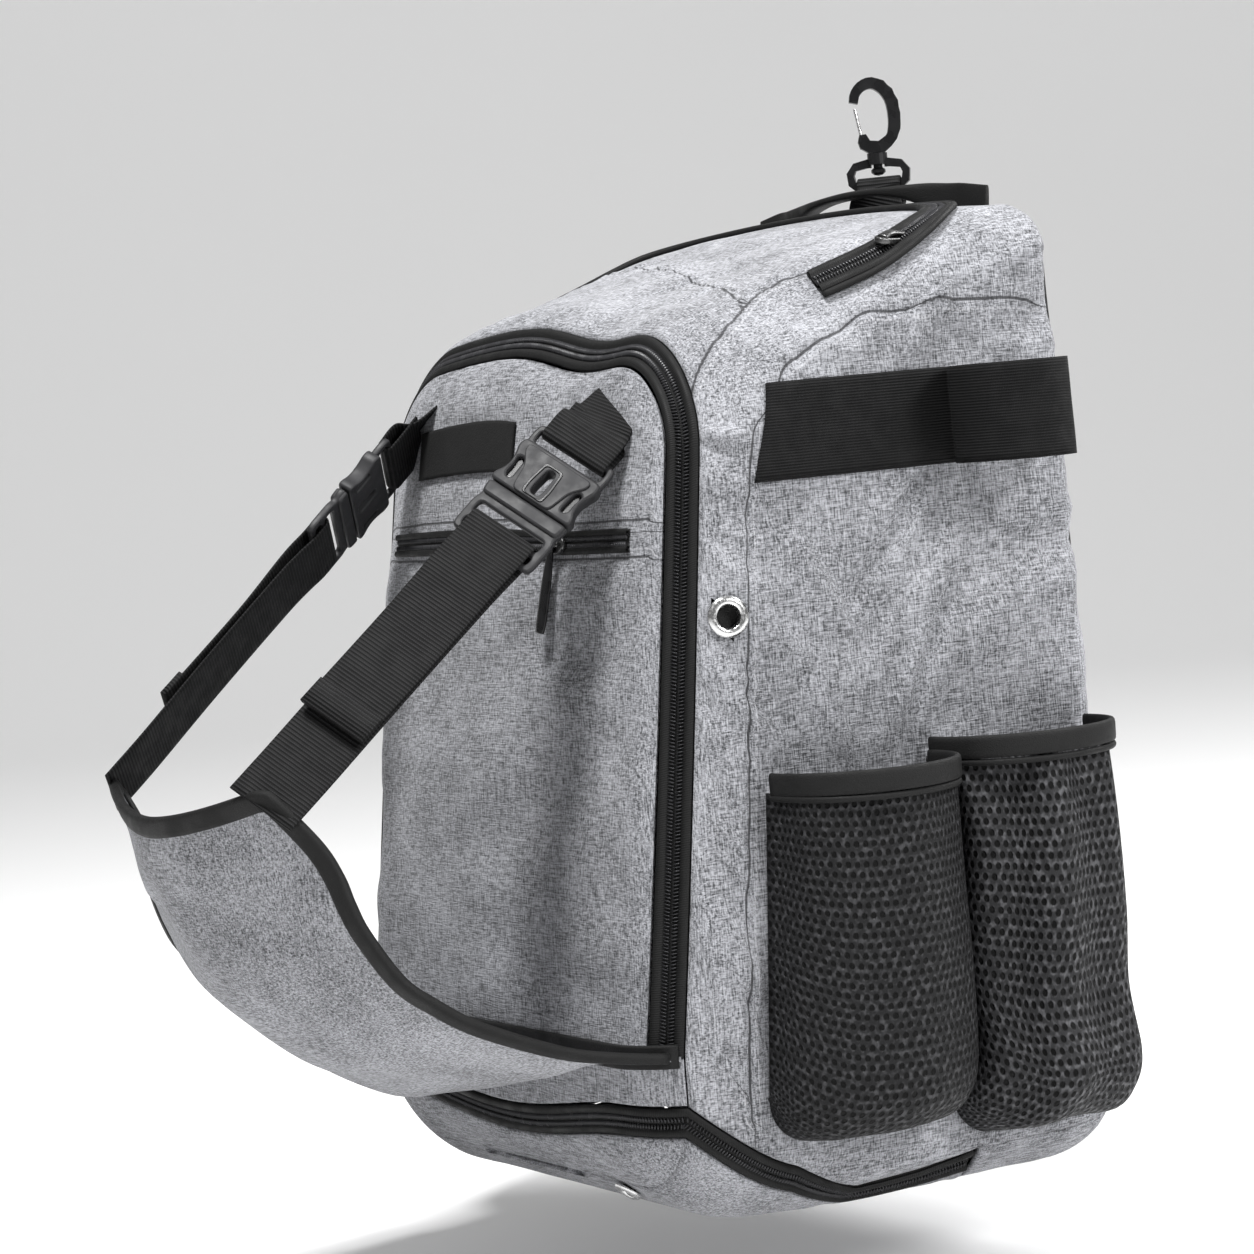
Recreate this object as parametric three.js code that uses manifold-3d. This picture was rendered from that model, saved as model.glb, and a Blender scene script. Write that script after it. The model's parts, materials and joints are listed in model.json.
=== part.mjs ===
import * as THREE from 'three';
import { mergeVertices } from 'three/addons/utils/BufferGeometryUtils.js';
import Module from 'manifold-3d';

const wasm = await Module();
wasm.setup();

// Driving dimensions in millimetres. The back wall's outer face is the plane y = 0, the front of the
// bag faces -y, x runs to the right of someone facing the front, and z = 0 is the bag's lowest line.
const BAG_WIDTH = 324;
const BACK_HEIGHT = 487;
const FRONT_HEIGHT = 450;
const BASE_DEPTH = 268;
const TOP_DEPTH = 216;
const HEM_HEIGHT = 90;
const WALL = 2.5;
const CLOTH = 1.5;
const SEAM_GAP = 0.6;
const FIT = 0.3;

// Roundings of the soft body
const FRONT_ROUND = 40;
const BACK_ROUND = 10;
const TOE_ROUND = 64;
const HEEL_ROUND = 28;
const FRONT_SHOULDER = 70;
const BACK_SHOULDER = 26;
const FRONT_CORNER = 62;
const BACK_CORNER = 34;
const FRONT_CROWN = 16;
const BACK_CROWN = 7;
const SOFT_BAND = 60;
const WAIST = 0.03;
const SAG_DEPTH = 9;
const SAG_SIDE = 60;
const SAG_WIDTH = 45;
const FRONT_BULGE = 9;

// Zippers, panels and trim
const ZIP_INNER = 4.3;
const ZIP_OUTER = 15.5;
const TAPE = 1.8;
const SHOE_TAPE = 16;
const SHOE_DIP = 11;
const SHOE_BACK = 90;
const SLIT_HEIGHT = 13;
const SLIT_DROP = 114;
const SLIT_LEVEL = FRONT_HEIGHT - SLIT_DROP;
const SLIT_LENGTH = 240;
const PATCH_DROP = 66;
const PATCH_LEVEL = FRONT_HEIGHT - PATCH_DROP;
const PATCH_HEIGHT = 26;
const PATCH_LENGTH = 104;
const TOP_TAPE = 15;
const PAD_THICK = 12;
const PAD_MARGIN = 5;
const GROMMET_RADIUS = 10;
const GROMMET_HOLE = 5.5;
const GROMMET_RIM = 1.5;

// The flap that slings under a round load in front of the bag
const FLAP_REACH = 176;
const FLAP_RISE = 126;
const BINDING = 8;
const BINDING_THICK = 3.4;
const STRAP = 38;
const STRAP_THICK = 1.8;
const BUCKLE_WIDTH = 48;
const BUCKLE_THICK = 9;
const TAIL_LENGTH = 124;

// Side pockets and bands
const POCKET_SPLIT = 107;
const POCKET_REAR = 12;
const BOTTLE_RIM = 210;
const BOTTLE_LOW = 41;
const BOTTLE_BULGE = 62;
const BAT_RIM = 216;
const BAT_LOW = 27;
const BAT_BULGE = 60;
const RIM_HEIGHT = 10;
const RIM_THICK = 3;
const BAND_DROP = 70;
const BAND_LEVEL = FRONT_HEIGHT - BAND_DROP;
const BAND_WIDTH = 47;
const BAND_THICK = 1.6;
const BAND_STITCH = 71;
const BAND_BULGE = 60;

// The hook that the bag hangs by, its webbing and the carrying handle
const HOOK_BACK = 10;
const HUB_RISE = 33;
const HUB_HEIGHT = 6;
const HUB_RADIUS = 5.4;
const STEM_RADIUS = 2.4;
const KNOB_RADIUS = 4;
const HOOK_DEPTH = 7;
const GATE_RADIUS = 0.9;
const LOOP_WIDTH = 34;
const LOOP_WIRE = 3.8;
const HOOK_WEB = 38;
const HOOK_TURN = THREE.MathUtils.degToRad(58);
const LOOP_TURN = THREE.MathUtils.degToRad(45);
const WEB_TURN = THREE.MathUtils.degToRad(25);
const HANDLE_REACH = 104;
const HANDLE_RISE = 10.5;
const HANDLE_THICK = 4;
const PAD_STRAP = 64;
const PAD_STRAP_THICK = 11;
const THIN_WEB = 25;

const HALF_WIDTH = BAG_WIDTH / 2;
const MEAN_DEPTH = (BASE_DEPTH + TOP_DEPTH) / 2;
const LEAN = (BASE_DEPTH - TOP_DEPTH) / (FRONT_HEIGHT - HEM_HEIGHT);
const WAIST_LEVEL = 0.43 * BACK_HEIGHT;
const GAP = SEAM_GAP / 2;
const INSIDE = new THREE.Vector3(0, -BASE_DEPTH / 2, BACK_HEIGHT / 2);

const vec = (x, y, z) => new THREE.Vector3(x, y, z);
const clamp01 = (t) => Math.min(1, Math.max(0, t));
const lerp = (a, b, t) => a + (b - a) * t;

function ease(a, b, t) {
  const s = clamp01(t);
  return a + (b - a) * s * s * (3 - 2 * s);
}

// How far a rounded edge of radius r has drawn in at depth d behind its face
function roundIn(d, r) {
  const left = Math.max(0, r - d);
  return r - Math.sqrt(Math.max(0, r * r - left * left));
}

function spread(a, b, count) {
  return Array.from({ length: count + 1 }, (_, i) => lerp(a, b, i / count));
}

// A value read from a table of rows by the column named at, between rows on a straight line
function readTable(rows, at, column) {
  const last = rows.length - 1;
  if (at <= rows[0].at) return rows[0][column];
  if (at >= rows[last].at) return rows[last][column];
  const i = rows.findIndex((row) => row.at > at);
  const before = rows[i - 1];
  const after = rows[i];
  return lerp(before[column], after[column], (at - before.at) / (after.at - before.at));
}

// The body's outline in the plane that lies the share k of the way from the front to the back
function outline(k) {
  const d = k * MEAN_DEPTH;
  const side = roundIn(d, FRONT_ROUND) + roundIn(MEAN_DEPTH - d, BACK_ROUND);
  const bottom = roundIn(d, TOE_ROUND) + roundIn(MEAN_DEPTH - d, HEEL_ROUND);
  return {
    half: HALF_WIDTH - side,
    top: ease(FRONT_HEIGHT, BACK_HEIGHT, k / 0.9) - side,
    bottom,
    shoulder: Math.max(ease(FRONT_SHOULDER, BACK_SHOULDER, k / 0.95) - side, 6),
    corner: Math.max(ease(FRONT_CORNER, BACK_CORNER, k / 0.5) - 0.5 * bottom, 6),
    crown: ease(FRONT_CROWN, BACK_CROWN, k),
  };
}

// A mark runs up the right half of an outline: 0 to 1 along the bottom, to 2 round the lower corner,
// to 3 up the side, to 4 round the shoulder and to 5 along the top to the middle
function flatPoint(o, mark) {
  const part = Math.min(Math.floor(mark), 4);
  const t = mark - part;
  if (part === 0) return [t * (o.half - o.corner), o.bottom];
  if (part === 1) {
    const a = (t - 1) * Math.PI / 2;
    return [o.half - o.corner + o.corner * Math.cos(a), o.bottom + o.corner + o.corner * Math.sin(a)];
  }
  if (part === 2) return [o.half, lerp(o.bottom + o.corner, o.top - o.shoulder, t)];
  if (part === 3) {
    const a = t * Math.PI / 2;
    return [o.half - o.shoulder + o.shoulder * Math.cos(a), o.top - o.shoulder + o.shoulder * Math.sin(a)];
  }
  return [(1 - t) * (o.half - o.shoulder), o.top];
}

const frontY = (z) => -BASE_DEPTH + LEAN * Math.max(0, z - HEM_HEIGHT);

// How far the soft top has sunk at a point of an outline: the crown falls to the sides, and the
// front edge sags a little to the right of the middle
function sink(k, x, z) {
  const o = outline(k);
  const up = clamp01((z - (o.top - o.shoulder - SOFT_BAND)) / (o.shoulder + SOFT_BAND));
  const sag = SAG_DEPTH * Math.exp(-(((x - SAG_SIDE) / SAG_WIDTH) ** 2)) * ease(1, 0, k / 0.6);
  return (o.crown * (x / HALF_WIDTH) ** 2 + sag) * up;
}

function place(k, x, z) {
  const height = z - sink(k, x, z);
  const pull = 1 - WAIST * ((height - WAIST_LEVEL) / (BACK_HEIGHT / 2)) ** 2;
  return vec(x * pull, frontY(height) * (1 - k), height);
}

function within(o, x, z) {
  const side = Math.abs(x);
  if (side > o.half || z > o.top || z < o.bottom) return false;
  const sx = side - (o.half - o.shoulder);
  const sz = z - (o.top - o.shoulder);
  if (sx > 0 && sz > 0) return sx * sx + sz * sz <= o.shoulder * o.shoulder;
  const cx = side - (o.half - o.corner);
  const cz = o.bottom + o.corner - z;
  if (cx > 0 && cz > 0) return cx * cx + cz * cz <= o.corner * o.corner;
  return true;
}

// The front surface at a flat place x, z: the first outline that holds it, with the soft bulge
function frontPoint(x, z) {
  let low = 0;
  let high = 0.4;
  if (within(outline(0), x, z)) {
    high = 0;
  } else {
    for (let i = 0; i < 22; i += 1) {
      const middle = (low + high) / 2;
      if (within(outline(middle), x, z)) high = middle;
      else low = middle;
    }
  }
  const p = place(high, x, z);
  const across = Math.max(0, 1 - (x / (HALF_WIDTH - FRONT_ROUND / 2)) ** 2);
  const level = (z - HEM_HEIGHT) / (FRONT_HEIGHT - FRONT_ROUND / 2 - HEM_HEIGHT);
  const along = clamp01(level) * clamp01(1 - level) * 4;
  p.y -= FRONT_BULGE * across * Math.sqrt(along);
  return p;
}

// The right side's surface at y, z
function sidePoint(y, z) {
  const k = clamp01(1 - y / frontY(z));
  const o = outline(k);
  let x = o.half;
  let flat = z;
  for (let i = 0; i < 4; i += 1) {
    flat = z + sink(k, x, flat);
    const rise = flat - (o.top - o.shoulder);
    const drop = o.bottom + o.corner - flat;
    if (rise > 0) x = o.half - o.shoulder + Math.sqrt(Math.max(0, o.shoulder ** 2 - rise ** 2));
    else if (drop > 0) x = o.half - o.corner + Math.sqrt(Math.max(0, o.corner ** 2 - drop ** 2));
    else x = o.half;
  }
  return vec(place(k, x, flat).x, y, z);
}

// The top surface at x, y
function topPoint(x, y) {
  let z = BACK_HEIGHT;
  let p = vec(x, y, z);
  for (let i = 0; i < 5; i += 1) {
    const k = clamp01(1 - y / frontY(z));
    const o = outline(k);
    const out = Math.abs(x) - (o.half - o.shoulder);
    const flat = out > 0 ? o.top - o.shoulder + Math.sqrt(Math.max(0, o.shoulder ** 2 - out ** 2)) : o.top;
    p = place(k, x, flat);
    z = p.z;
  }
  return vec(x, y, z);
}

// Solids from surfaces

// A closed body of even thickness from patches of one open surface. Each patch is a grid of rows,
// points that patches share are joined, and inner and outer are measured along the outward normal.
function thicken(patches, inner, outer, inside = INSIDE) {
  const points = [];
  const known = new Map();
  const numberOf = (p) => {
    const key = [p.x, p.y, p.z].map((c) => Math.round(c * 500)).join();
    if (!known.has(key)) {
      known.set(key, points.length);
      points.push(p);
    }
    return known.get(key);
  };
  let faces = [];
  for (const rows of patches) {
    const ids = rows.map((row) => row.map(numberOf));
    for (let i = 0; i + 1 < ids.length; i += 1) {
      for (let j = 0; j + 1 < ids[i].length; j += 1) {
        const [a, b, c, d] = [ids[i][j], ids[i][j + 1], ids[i + 1][j + 1], ids[i + 1][j]];
        for (const face of [[a, b, c], [a, c, d]]) {
          if (new Set(face).size === 3) faces.push(face);
        }
      }
    }
  }
  const across = (face) => {
    const [a, b, c] = face.map((i) => points[i]);
    return b.clone().sub(a).cross(c.clone().sub(a));
  };
  const facing = faces.reduce((sum, f) => sum + across(f).dot(points[f[0]].clone().sub(inside)), 0);
  if (facing < 0) faces = faces.map(([a, b, c]) => [a, c, b]);
  const normals = points.map(() => vec(0, 0, 0));
  for (const face of faces) {
    const n = across(face);
    for (const i of face) normals[i].add(n);
  }
  normals.forEach((n) => n.normalize());
  const count = points.length;
  const corners = [];
  for (const offset of [outer, inner]) {
    points.forEach((p, i) => corners.push(...p.clone().addScaledVector(normals[i], offset).toArray()));
  }
  const edges = new Set();
  for (const [a, b, c] of faces) for (const [s, e] of [[a, b], [b, c], [c, a]]) edges.add(`${s},${e}`);
  const index = [];
  for (const [a, b, c] of faces) index.push(a, b, c, c + count, b + count, a + count);
  for (const edge of edges) {
    const [s, e] = edge.split(',').map(Number);
    if (!edges.has(`${e},${s}`)) index.push(e, s, s + count, e, s + count, e + count);
  }
  return indexed(corners, index);
}

function indexed(corners, index) {
  const geometry = new THREE.BufferGeometry();
  geometry.setAttribute('position', new THREE.Float32BufferAttribute(corners, 3));
  geometry.setIndex(index);
  return geometry;
}

// A flat band along stations of { p, side, width, thick }: side is the direction of its width, and
// its faces lie evenly to both sides of the path
function ribbon(stations) {
  const corners = [];
  stations.forEach((station, i) => {
    const before = stations[Math.max(0, i - 1)].p;
    const after = stations[Math.min(stations.length - 1, i + 1)].p;
    const along = after.clone().sub(before).normalize();
    const face = station.side.clone().cross(along).normalize();
    const side = along.clone().cross(face).normalize();
    for (const [s, f] of [[-1, -1], [1, -1], [1, 1], [-1, 1]]) {
      const corner = station.p.clone();
      corner.addScaledVector(side, s * station.width / 2).addScaledVector(face, f * station.thick / 2);
      corners.push(...corner.toArray());
    }
  });
  const index = [0, 2, 1, 0, 3, 2];
  for (let i = 0; i + 1 < stations.length; i += 1) {
    for (let j = 0; j < 4; j += 1) {
      const a = 4 * i + j;
      const b = 4 * i + (j + 1) % 4;
      index.push(a, b, b + 4, a, b + 4, a + 4);
    }
  }
  const end = 4 * (stations.length - 1);
  index.push(end, end + 1, end + 2, end, end + 2, end + 3);
  const geometry = indexed(corners, index);
  if (volumeOf(geometry) < 0) flipFaces(geometry);
  return geometry;
}

function volumeOf(geometry) {
  const at = geometry.attributes.position;
  const ids = geometry.index.array;
  let sum = 0;
  for (let i = 0; i < ids.length; i += 3) {
    const [a, b, c] = [0, 1, 2].map((j) => vec(0, 0, 0).fromBufferAttribute(at, ids[i + j]));
    sum += a.dot(b.cross(c));
  }
  return sum / 6;
}

function flipFaces(geometry) {
  const ids = geometry.index.array;
  for (let i = 0; i < ids.length; i += 3) [ids[i + 1], ids[i + 2]] = [ids[i + 2], ids[i + 1]];
}

function toSolid(geometry) {
  const bare = geometry.clone();
  for (const name of Object.keys(bare.attributes)) if (name !== 'position') bare.deleteAttribute(name);
  const merged = mergeVertices(bare, 1e-4);
  return new wasm.Manifold(new wasm.Mesh({
    numProp: 3,
    vertProperties: new Float32Array(merged.attributes.position.array),
    triVerts: new Uint32Array(merged.index.array),
  }));
}

function fromSolid(solid) {
  const mesh = solid.getMesh();
  return indexed(Array.from(mesh.vertProperties), Array.from(mesh.triVerts));
}

function joined(...geometries) {
  return fromSolid(geometries.map(toSolid).reduce((sum, one) => sum.add(one)));
}

function without(geometry, ...cutters) {
  return fromSolid(cutters.map(toSolid).reduce((left, cutter) => left.subtract(cutter), toSolid(geometry)));
}

// The largest connected piece of a solid, which drops the slivers that a cut can leave
function mainPiece(geometry) {
  const pieces = toSolid(geometry).decompose();
  return fromSolid(pieces.reduce((best, one) => (one.volume() > best.volume() ? one : best)));
}

function framed(geometry, origin, x, y) {
  const right = x.clone().normalize();
  const out = right.clone().cross(y).normalize();
  const up = out.clone().cross(right);
  const matrix = new THREE.Matrix4().makeBasis(right, up, out).setPosition(origin);
  return geometry.clone().applyMatrix4(matrix);
}

function plate(points, thick, holes = []) {
  const shape = new THREE.Shape(points.map(([x, y]) => new THREE.Vector2(x, y)));
  for (const hole of holes) shape.holes.push(new THREE.Path(hole.map(([x, y]) => new THREE.Vector2(x, y))));
  const geometry = new THREE.ExtrudeGeometry(shape, { depth: thick, bevelEnabled: false });
  return geometry.translate(0, 0, -thick / 2);
}

const rectangle = (x0, y0, x1, y1) => [[x0, y0], [x1, y0], [x1, y1], [x0, y1]];

function rod(a, b, radius, sides = 10) {
  const along = b.clone().sub(a);
  const geometry = new THREE.CylinderGeometry(radius, radius, along.length(), sides);
  geometry.applyQuaternion(new THREE.Quaternion().setFromUnitVectors(vec(0, 1, 0), along.clone().normalize()));
  const middle = a.clone().add(b).multiplyScalar(0.5);
  return geometry.translate(middle.x, middle.y, middle.z);
}

function mirrored(geometry) {
  const copy = fromSolid(toSolid(geometry)).applyMatrix4(new THREE.Matrix4().makeScale(-1, 1, 1));
  flipFaces(copy);
  return copy;
}

// The soft body: gusset with top and back, front panel, shoe compartment, and the zippers between
const K_INNER = ZIP_INNER / MEAN_DEPTH;
const K_OUTER = ZIP_OUTER / MEAN_DEPTH;
const K_GAP = GAP / MEAN_DEPTH;
const K_SHOE = 1 - SHOE_BACK / BASE_DEPTH;
const SIDE_STEPS = [0.08, 0.12, 0.18, 0.26, 0.38, 0.52];

// The shoe zipper's middle along the lower corner: how far round the corner it runs at each share
// of the way to its back end
const SHOE_ROUTE = [
  { at: 0.0, turn: 0.83 },
  { at: 0.35, turn: 0.64 },
  { at: 0.58, turn: 0.36 },
  { at: 0.8, turn: 0.42 },
  { at: 1.0, turn: 0.55 },
];

function shoeMark(k, shift) {
  const o = outline(k);
  const share = (k - K_OUTER) / (K_SHOE - K_OUTER);
  return 1 + readTable(SHOE_ROUTE, clamp01(share), 'turn') + shift / (o.corner * Math.PI / 2);
}

function heightMark(k, z) {
  const o = outline(k);
  const low = o.bottom + o.corner;
  return 2 + (z - low) / (o.top - o.shoulder - low);
}

// Shares of a straight bottom or top line, counted from its middle, and the marks of a whole side
const STRAIGHT = [0.34, 0.67];
const LOWER_MARKS = [0, ...STRAIGHT, 1, 1.2, 1.4];
const UPPER_MARKS = [2, 2.25, 2.5, 2.75, 3, 3.2, 3.4, 3.6, 3.8, 4, 5 - STRAIGHT[1], 5 - STRAIGHT[0], 5];
const ACROSS = [-1, -STRAIGHT[1], -STRAIGHT[0], 0, ...STRAIGHT, 1];

// Columns of the front surface from its middle to its side, closer where it rounds
const FRONT_HALF = [0, 0.28, 0.55, 0.77, 0.89, 0.96, 1];
const FRONT_COLUMNS = [...[...FRONT_HALF].reverse(), ...FRONT_HALF.slice(1).map((u) => -u)];

function rightPoint(k, mark) {
  const [x, z] = flatPoint(outline(k), mark);
  return place(k, x, z);
}

function leftPoint(k, mark) {
  const [x, z] = flatPoint(outline(k), mark);
  return place(k, -x, z);
}

// One outline from its right end at the first mark, over the top, to the same mark on the left
function archRow(k, marks) {
  const right = marks.map((mark) => rightPoint(k, mark));
  const left = marks.slice(0, -1).reverse().map((mark) => leftPoint(k, mark));
  return [...right, ...left];
}

// One outline from the left, under the bottom, to the right
function cradleRow(k, marks) {
  const left = marks.slice(1).reverse().map((mark) => leftPoint(k, mark));
  const right = marks.map((mark) => rightPoint(k, mark));
  return [...left, ...right];
}

const shoeEdge = (k, shift) => shoeMark(Math.min(k, K_SHOE), shift);

function bodyPatches() {
  const steps = [K_OUTER + K_GAP, ...SIDE_STEPS, K_SHOE, 0.8, 0.9, 0.955, 0.98, 1];
  const lift = SHOE_TAPE / 2 + SEAM_GAP;
  const edges = (k) => [shoeEdge(k, lift), lerp(shoeEdge(k, lift), 2, 0.5)];
  const gusset = steps.map((k) => archRow(k, [...edges(k), ...UPPER_MARKS]));
  const under = [...LOWER_MARKS, edges(1)[0]];
  const heel = steps.filter((k) => k >= K_SHOE).map((k) => cradleRow(k, under));
  const levels = [...LOWER_MARKS.filter((mark) => mark >= 1), ...edges(1), ...UPPER_MARKS];
  const back = levels.filter((mark) => mark <= 4).map((mark) => {
    const [x, z] = flatPoint(outline(1), mark);
    return ACROSS.map((u) => place(1, x * u, z));
  });
  return [gusset, heel, back];
}

function bodyShell() {
  return without(thicken(bodyPatches(), -WALL, 0), ventHole(1), ventHole(-1));
}

// What a piece laid on the body has to stay clear of
const bodyRoom = () => thicken(bodyPatches(), -2 * WALL, FIT);
const frontRoom = () => [frontPanel(-2 * WALL, FIT), frontZipper(-2 * WALL, FIT), lowerPanel(-2 * WALL, FIT)];

// The marks above the hem seam on the outline at k
function panelMarks(k) {
  return [heightMark(k, HEM_HEIGHT + GAP), ...UPPER_MARKS.slice(1)];
}

// A row of the front surface from right to left, whose ends lie on the outline at k
function frontRow(k, mark, wave = 0) {
  const [x, z] = flatPoint(outline(k), mark);
  return FRONT_COLUMNS.map((u) => {
    if (Math.abs(u) === 1) return place(k, x * u, z);
    return frontPoint(x * u, z + wave * shoeWave(u));
  });
}

const shoeWave = (u) => -SHOE_DIP * Math.max(0, 1 - (u / 0.8) ** 2) ** 2;

function frontPanel(inner = -WALL, outer = 0) {
  const k = K_INNER - K_GAP;
  const marks = [heightMark(k, HEM_HEIGHT + GAP), 2.15, 2.3, 2.45, 2.6, 2.75, 2.9, 3, 3.2, 3.4, 3.6, 3.8, 4];
  return thicken([marks.map((mark) => frontRow(k, mark))], inner, outer);
}

function frontZipper(inner = -TAPE, outer = 0) {
  const rows = [K_INNER + K_GAP, (K_INNER + K_OUTER) / 2, K_OUTER - K_GAP].map((k) => archRow(k, panelMarks(k)));
  return thicken([rows], inner, outer);
}

function lowerPanel(inner = -WALL, outer = 0) {
  const k = K_OUTER - K_GAP;
  const low = shoeMark(k, SHOE_TAPE / 2 + SEAM_GAP);
  const hem = heightMark(k, HEM_HEIGHT - GAP);
  const rows = [0, 0.35, 0.7, 1].map((t) => frontRow(k, lerp(low, hem, t), 1 - t));
  return thicken([rows], inner, outer);
}

const SHOE_STEPS = [K_OUTER, ...SIDE_STEPS, K_SHOE - 3 * K_GAP];

function shoeZipper() {
  const marks = (k) => [-1, 0, 1].map((way) => shoeEdge(k, way * (SHOE_TAPE / 2 - SEAM_GAP)));
  const right = SHOE_STEPS.map((k) => marks(k).map((mark) => rightPoint(k, mark)));
  const left = SHOE_STEPS.map((k) => marks(k).reverse().map((mark) => leftPoint(k, mark)));
  const front = marks(K_OUTER).map((mark) => frontRow(K_OUTER, mark, 1));
  return thicken([right, left, front], -TAPE, 0);
}

function shoePanel() {
  const top = (k) => shoeEdge(k, -SHOE_TAPE / 2 - SEAM_GAP);
  const marks = (k) => [...FRONT_HALF, lerp(1, top(k), 0.5), top(k)];
  const under = SHOE_STEPS.map((k) => cradleRow(k, marks(k)));
  const toe = [0.5, 1].map((t) => frontRow(K_OUTER, lerp(1, top(K_OUTER), t), t));
  const front = [cradleRow(K_OUTER, FRONT_HALF).reverse(), ...toe];
  return without(thicken([under, front], -WALL, 0), toeHole());
}

// The padded back, held in the seam round the back wall
function backPad() {
  const levels = [1, 1.5, 2, 2.25, 2.5, 2.75, 3, 3.5, 4];
  const o = outline(1);
  const centre = (o.top + o.bottom) / 2;
  const share = 1 - 2 * PAD_MARGIN / (o.top - o.bottom);
  const rows = levels.map((mark) => {
    const [x, z] = flatPoint(o, mark);
    return ACROSS.map((u) => {
      const p = place(1, x * u, z);
      return vec(p.x * (1 - PAD_MARGIN / o.half), FIT, centre + (p.z - centre) * share);
    });
  });
  return thicken([rows], 0, PAD_THICK);
}

// Grommets are one turned ring each: a flange outside, a sleeve through the cloth, a flange inside
const SLEEVE = 1.4;
const RING_SIDES = 14;

function grommet(hole, rim) {
  const back = -WALL - FIT - GROMMET_RIM;
  const profile = [
    [hole, back], [rim, back], [rim, -WALL - FIT], [hole + SLEEVE, -WALL - FIT], [hole + SLEEVE, FIT],
    [rim, FIT], [(rim + hole) / 2, FIT + GROMMET_RIM], [hole, FIT + GROMMET_RIM * 0.5], [hole, back],
  ];
  const ring = new THREE.LatheGeometry(profile.map(([x, y]) => new THREE.Vector2(x, y)), RING_SIDES);
  const solid = fromSolid(toSolid(ring));
  if (volumeOf(solid) < 0) flipFaces(solid);
  return solid.rotateX(Math.PI / 2);
}

const VENT = { setback: 28.3, z: 0.606 };
const TOE_GROMMET = { x: 0.52, z: 0.037 };
const TOE_HOLE = 3.5;
const TOE_RIM = 7;

function surfaceNormal(surface, u, v) {
  const step = 1;
  const across = surface(u + step, v).sub(surface(u - step, v));
  const up = surface(u, v + step).sub(surface(u, v - step));
  const n = across.cross(up).normalize();
  return n.dot(surface(u, v).sub(INSIDE)) < 0 ? n.negate() : n;
}

function ventFrame() {
  const z = VENT.z * BACK_HEIGHT;
  const y = frontY(z) + VENT.setback;
  return { at: sidePoint(y, z), out: surfaceNormal(sidePoint, y, z) };
}

function toeFrame() {
  const x = TOE_GROMMET.x * HALF_WIDTH;
  const z = TOE_GROMMET.z * BACK_HEIGHT;
  return { at: frontPoint(x, z), out: surfaceNormal(frontPoint, x, z) };
}

// Turns a piece made round its own z axis so that the axis points out of the surface
function seated(geometry, { at, out }) {
  const x = Math.abs(out.z) < 0.9 ? vec(0, 0, 1).cross(out) : vec(1, 0, 0);
  return framed(geometry, at, x, out.clone().cross(x));
}

// The hole for a grommet, with flat seats for its two flanges where the cloth is pressed between them
function punch({ at, out }, hole, rim) {
  const reach = 4 * WALL;
  const drum = (from, to, radius) => {
    const start = at.clone().addScaledVector(out, from);
    return rod(start, at.clone().addScaledVector(out, to), radius, RING_SIDES);
  };
  const sleeve = drum(-reach, reach, hole + SLEEVE + 2 * FIT);
  return joined(sleeve, drum(FIT / 4, reach, rim + 2 * FIT), drum(-reach, -WALL - FIT / 4, rim + 2 * FIT));
}

function ventHole(way) {
  const hole = punch(ventFrame(), GROMMET_HOLE, GROMMET_RADIUS);
  return way > 0 ? hole : mirrored(hole);
}

const toeHole = () => punch(toeFrame(), TOE_HOLE, TOE_RIM);

// Pieces laid on the front and the top

// A patch of cloth that lies on the front surface round x, z
function frontStrip(x, z, length, height, thick, columns = 12) {
  const rows = spread(-height / 2, height / 2, 2).map((up) => (
    spread(-length / 2, length / 2, columns).map((along) => frontPoint(x + along, z + up))
  ));
  return thicken([rows], FIT, FIT + thick);
}

// The top zipper's route on the right half: shares of half the width and of the depth
const TOP_ROUTE = [
  { at: 0, side: 0.0, back: 0.075 },
  { at: 1, side: 0.35, back: 0.085 },
  { at: 2, side: 0.66, back: 0.12 },
  { at: 3, side: 0.82, back: 0.2 },
  { at: 4, side: 0.87, back: 0.33 },
  { at: 5, side: 0.84, back: 0.48 },
];

function topZipper() {
  const half = TOP_TAPE / 2;
  const centre = (t) => {
    const way = Math.sign(t);
    const at = Math.abs(t);
    return [way * readTable(TOP_ROUTE, at, 'side') * HALF_WIDTH, -readTable(TOP_ROUTE, at, 'back') * BASE_DEPTH];
  };
  const rows = [-1, 0, 1].map((way) => spread(-5, 5, 20).map((t) => {
    const [x, y] = centre(t);
    const [x0, y0] = centre(t - 0.25);
    const [x1, y1] = centre(t + 0.25);
    const length = Math.hypot(x1 - x0, y1 - y0);
    return topPoint(x - way * half * (y1 - y0) / length, y + way * half * (x1 - x0) / length);
  }));
  return thicken([rows], FIT, FIT + TAPE);
}

// A slider with its pull, made flat: the slider at the origin on the tape, the pull hanging along -y
const SLIDER = { width: 9, length: 11, thick: 4 };
const PULL_THICK = 2.4;

function slider(width, length) {
  const half = SLIDER.width / 2;
  const end = SLIDER.length / 2;
  const body = plate([[-half, -end], [half, -end], [half, end / 2], [half / 2, end], [-half / 2, end], [-half, end / 2]],
    SLIDER.thick).translate(0, 0, SLIDER.thick / 2);
  const round = width / 2;
  const tip = spread(Math.PI, 2 * Math.PI, 4).map((a) => [round * Math.cos(a), round * (1 + Math.sin(a)) - length]);
  const pull = plate([[round * 0.6, 0], [-round * 0.6, 0], ...tip], PULL_THICK).translate(0, 0, SLIDER.thick);
  return joined(body, pull);
}

// Seats a slider on its tape at a point of a surface, with the pull hanging the way of hang
function seatedSlider(geometry, at, out, hang) {
  const x = out.clone().cross(hang).normalize();
  return framed(geometry, at.clone().addScaledVector(out, 2 * FIT + TAPE), x, out.clone().cross(x));
}

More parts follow.
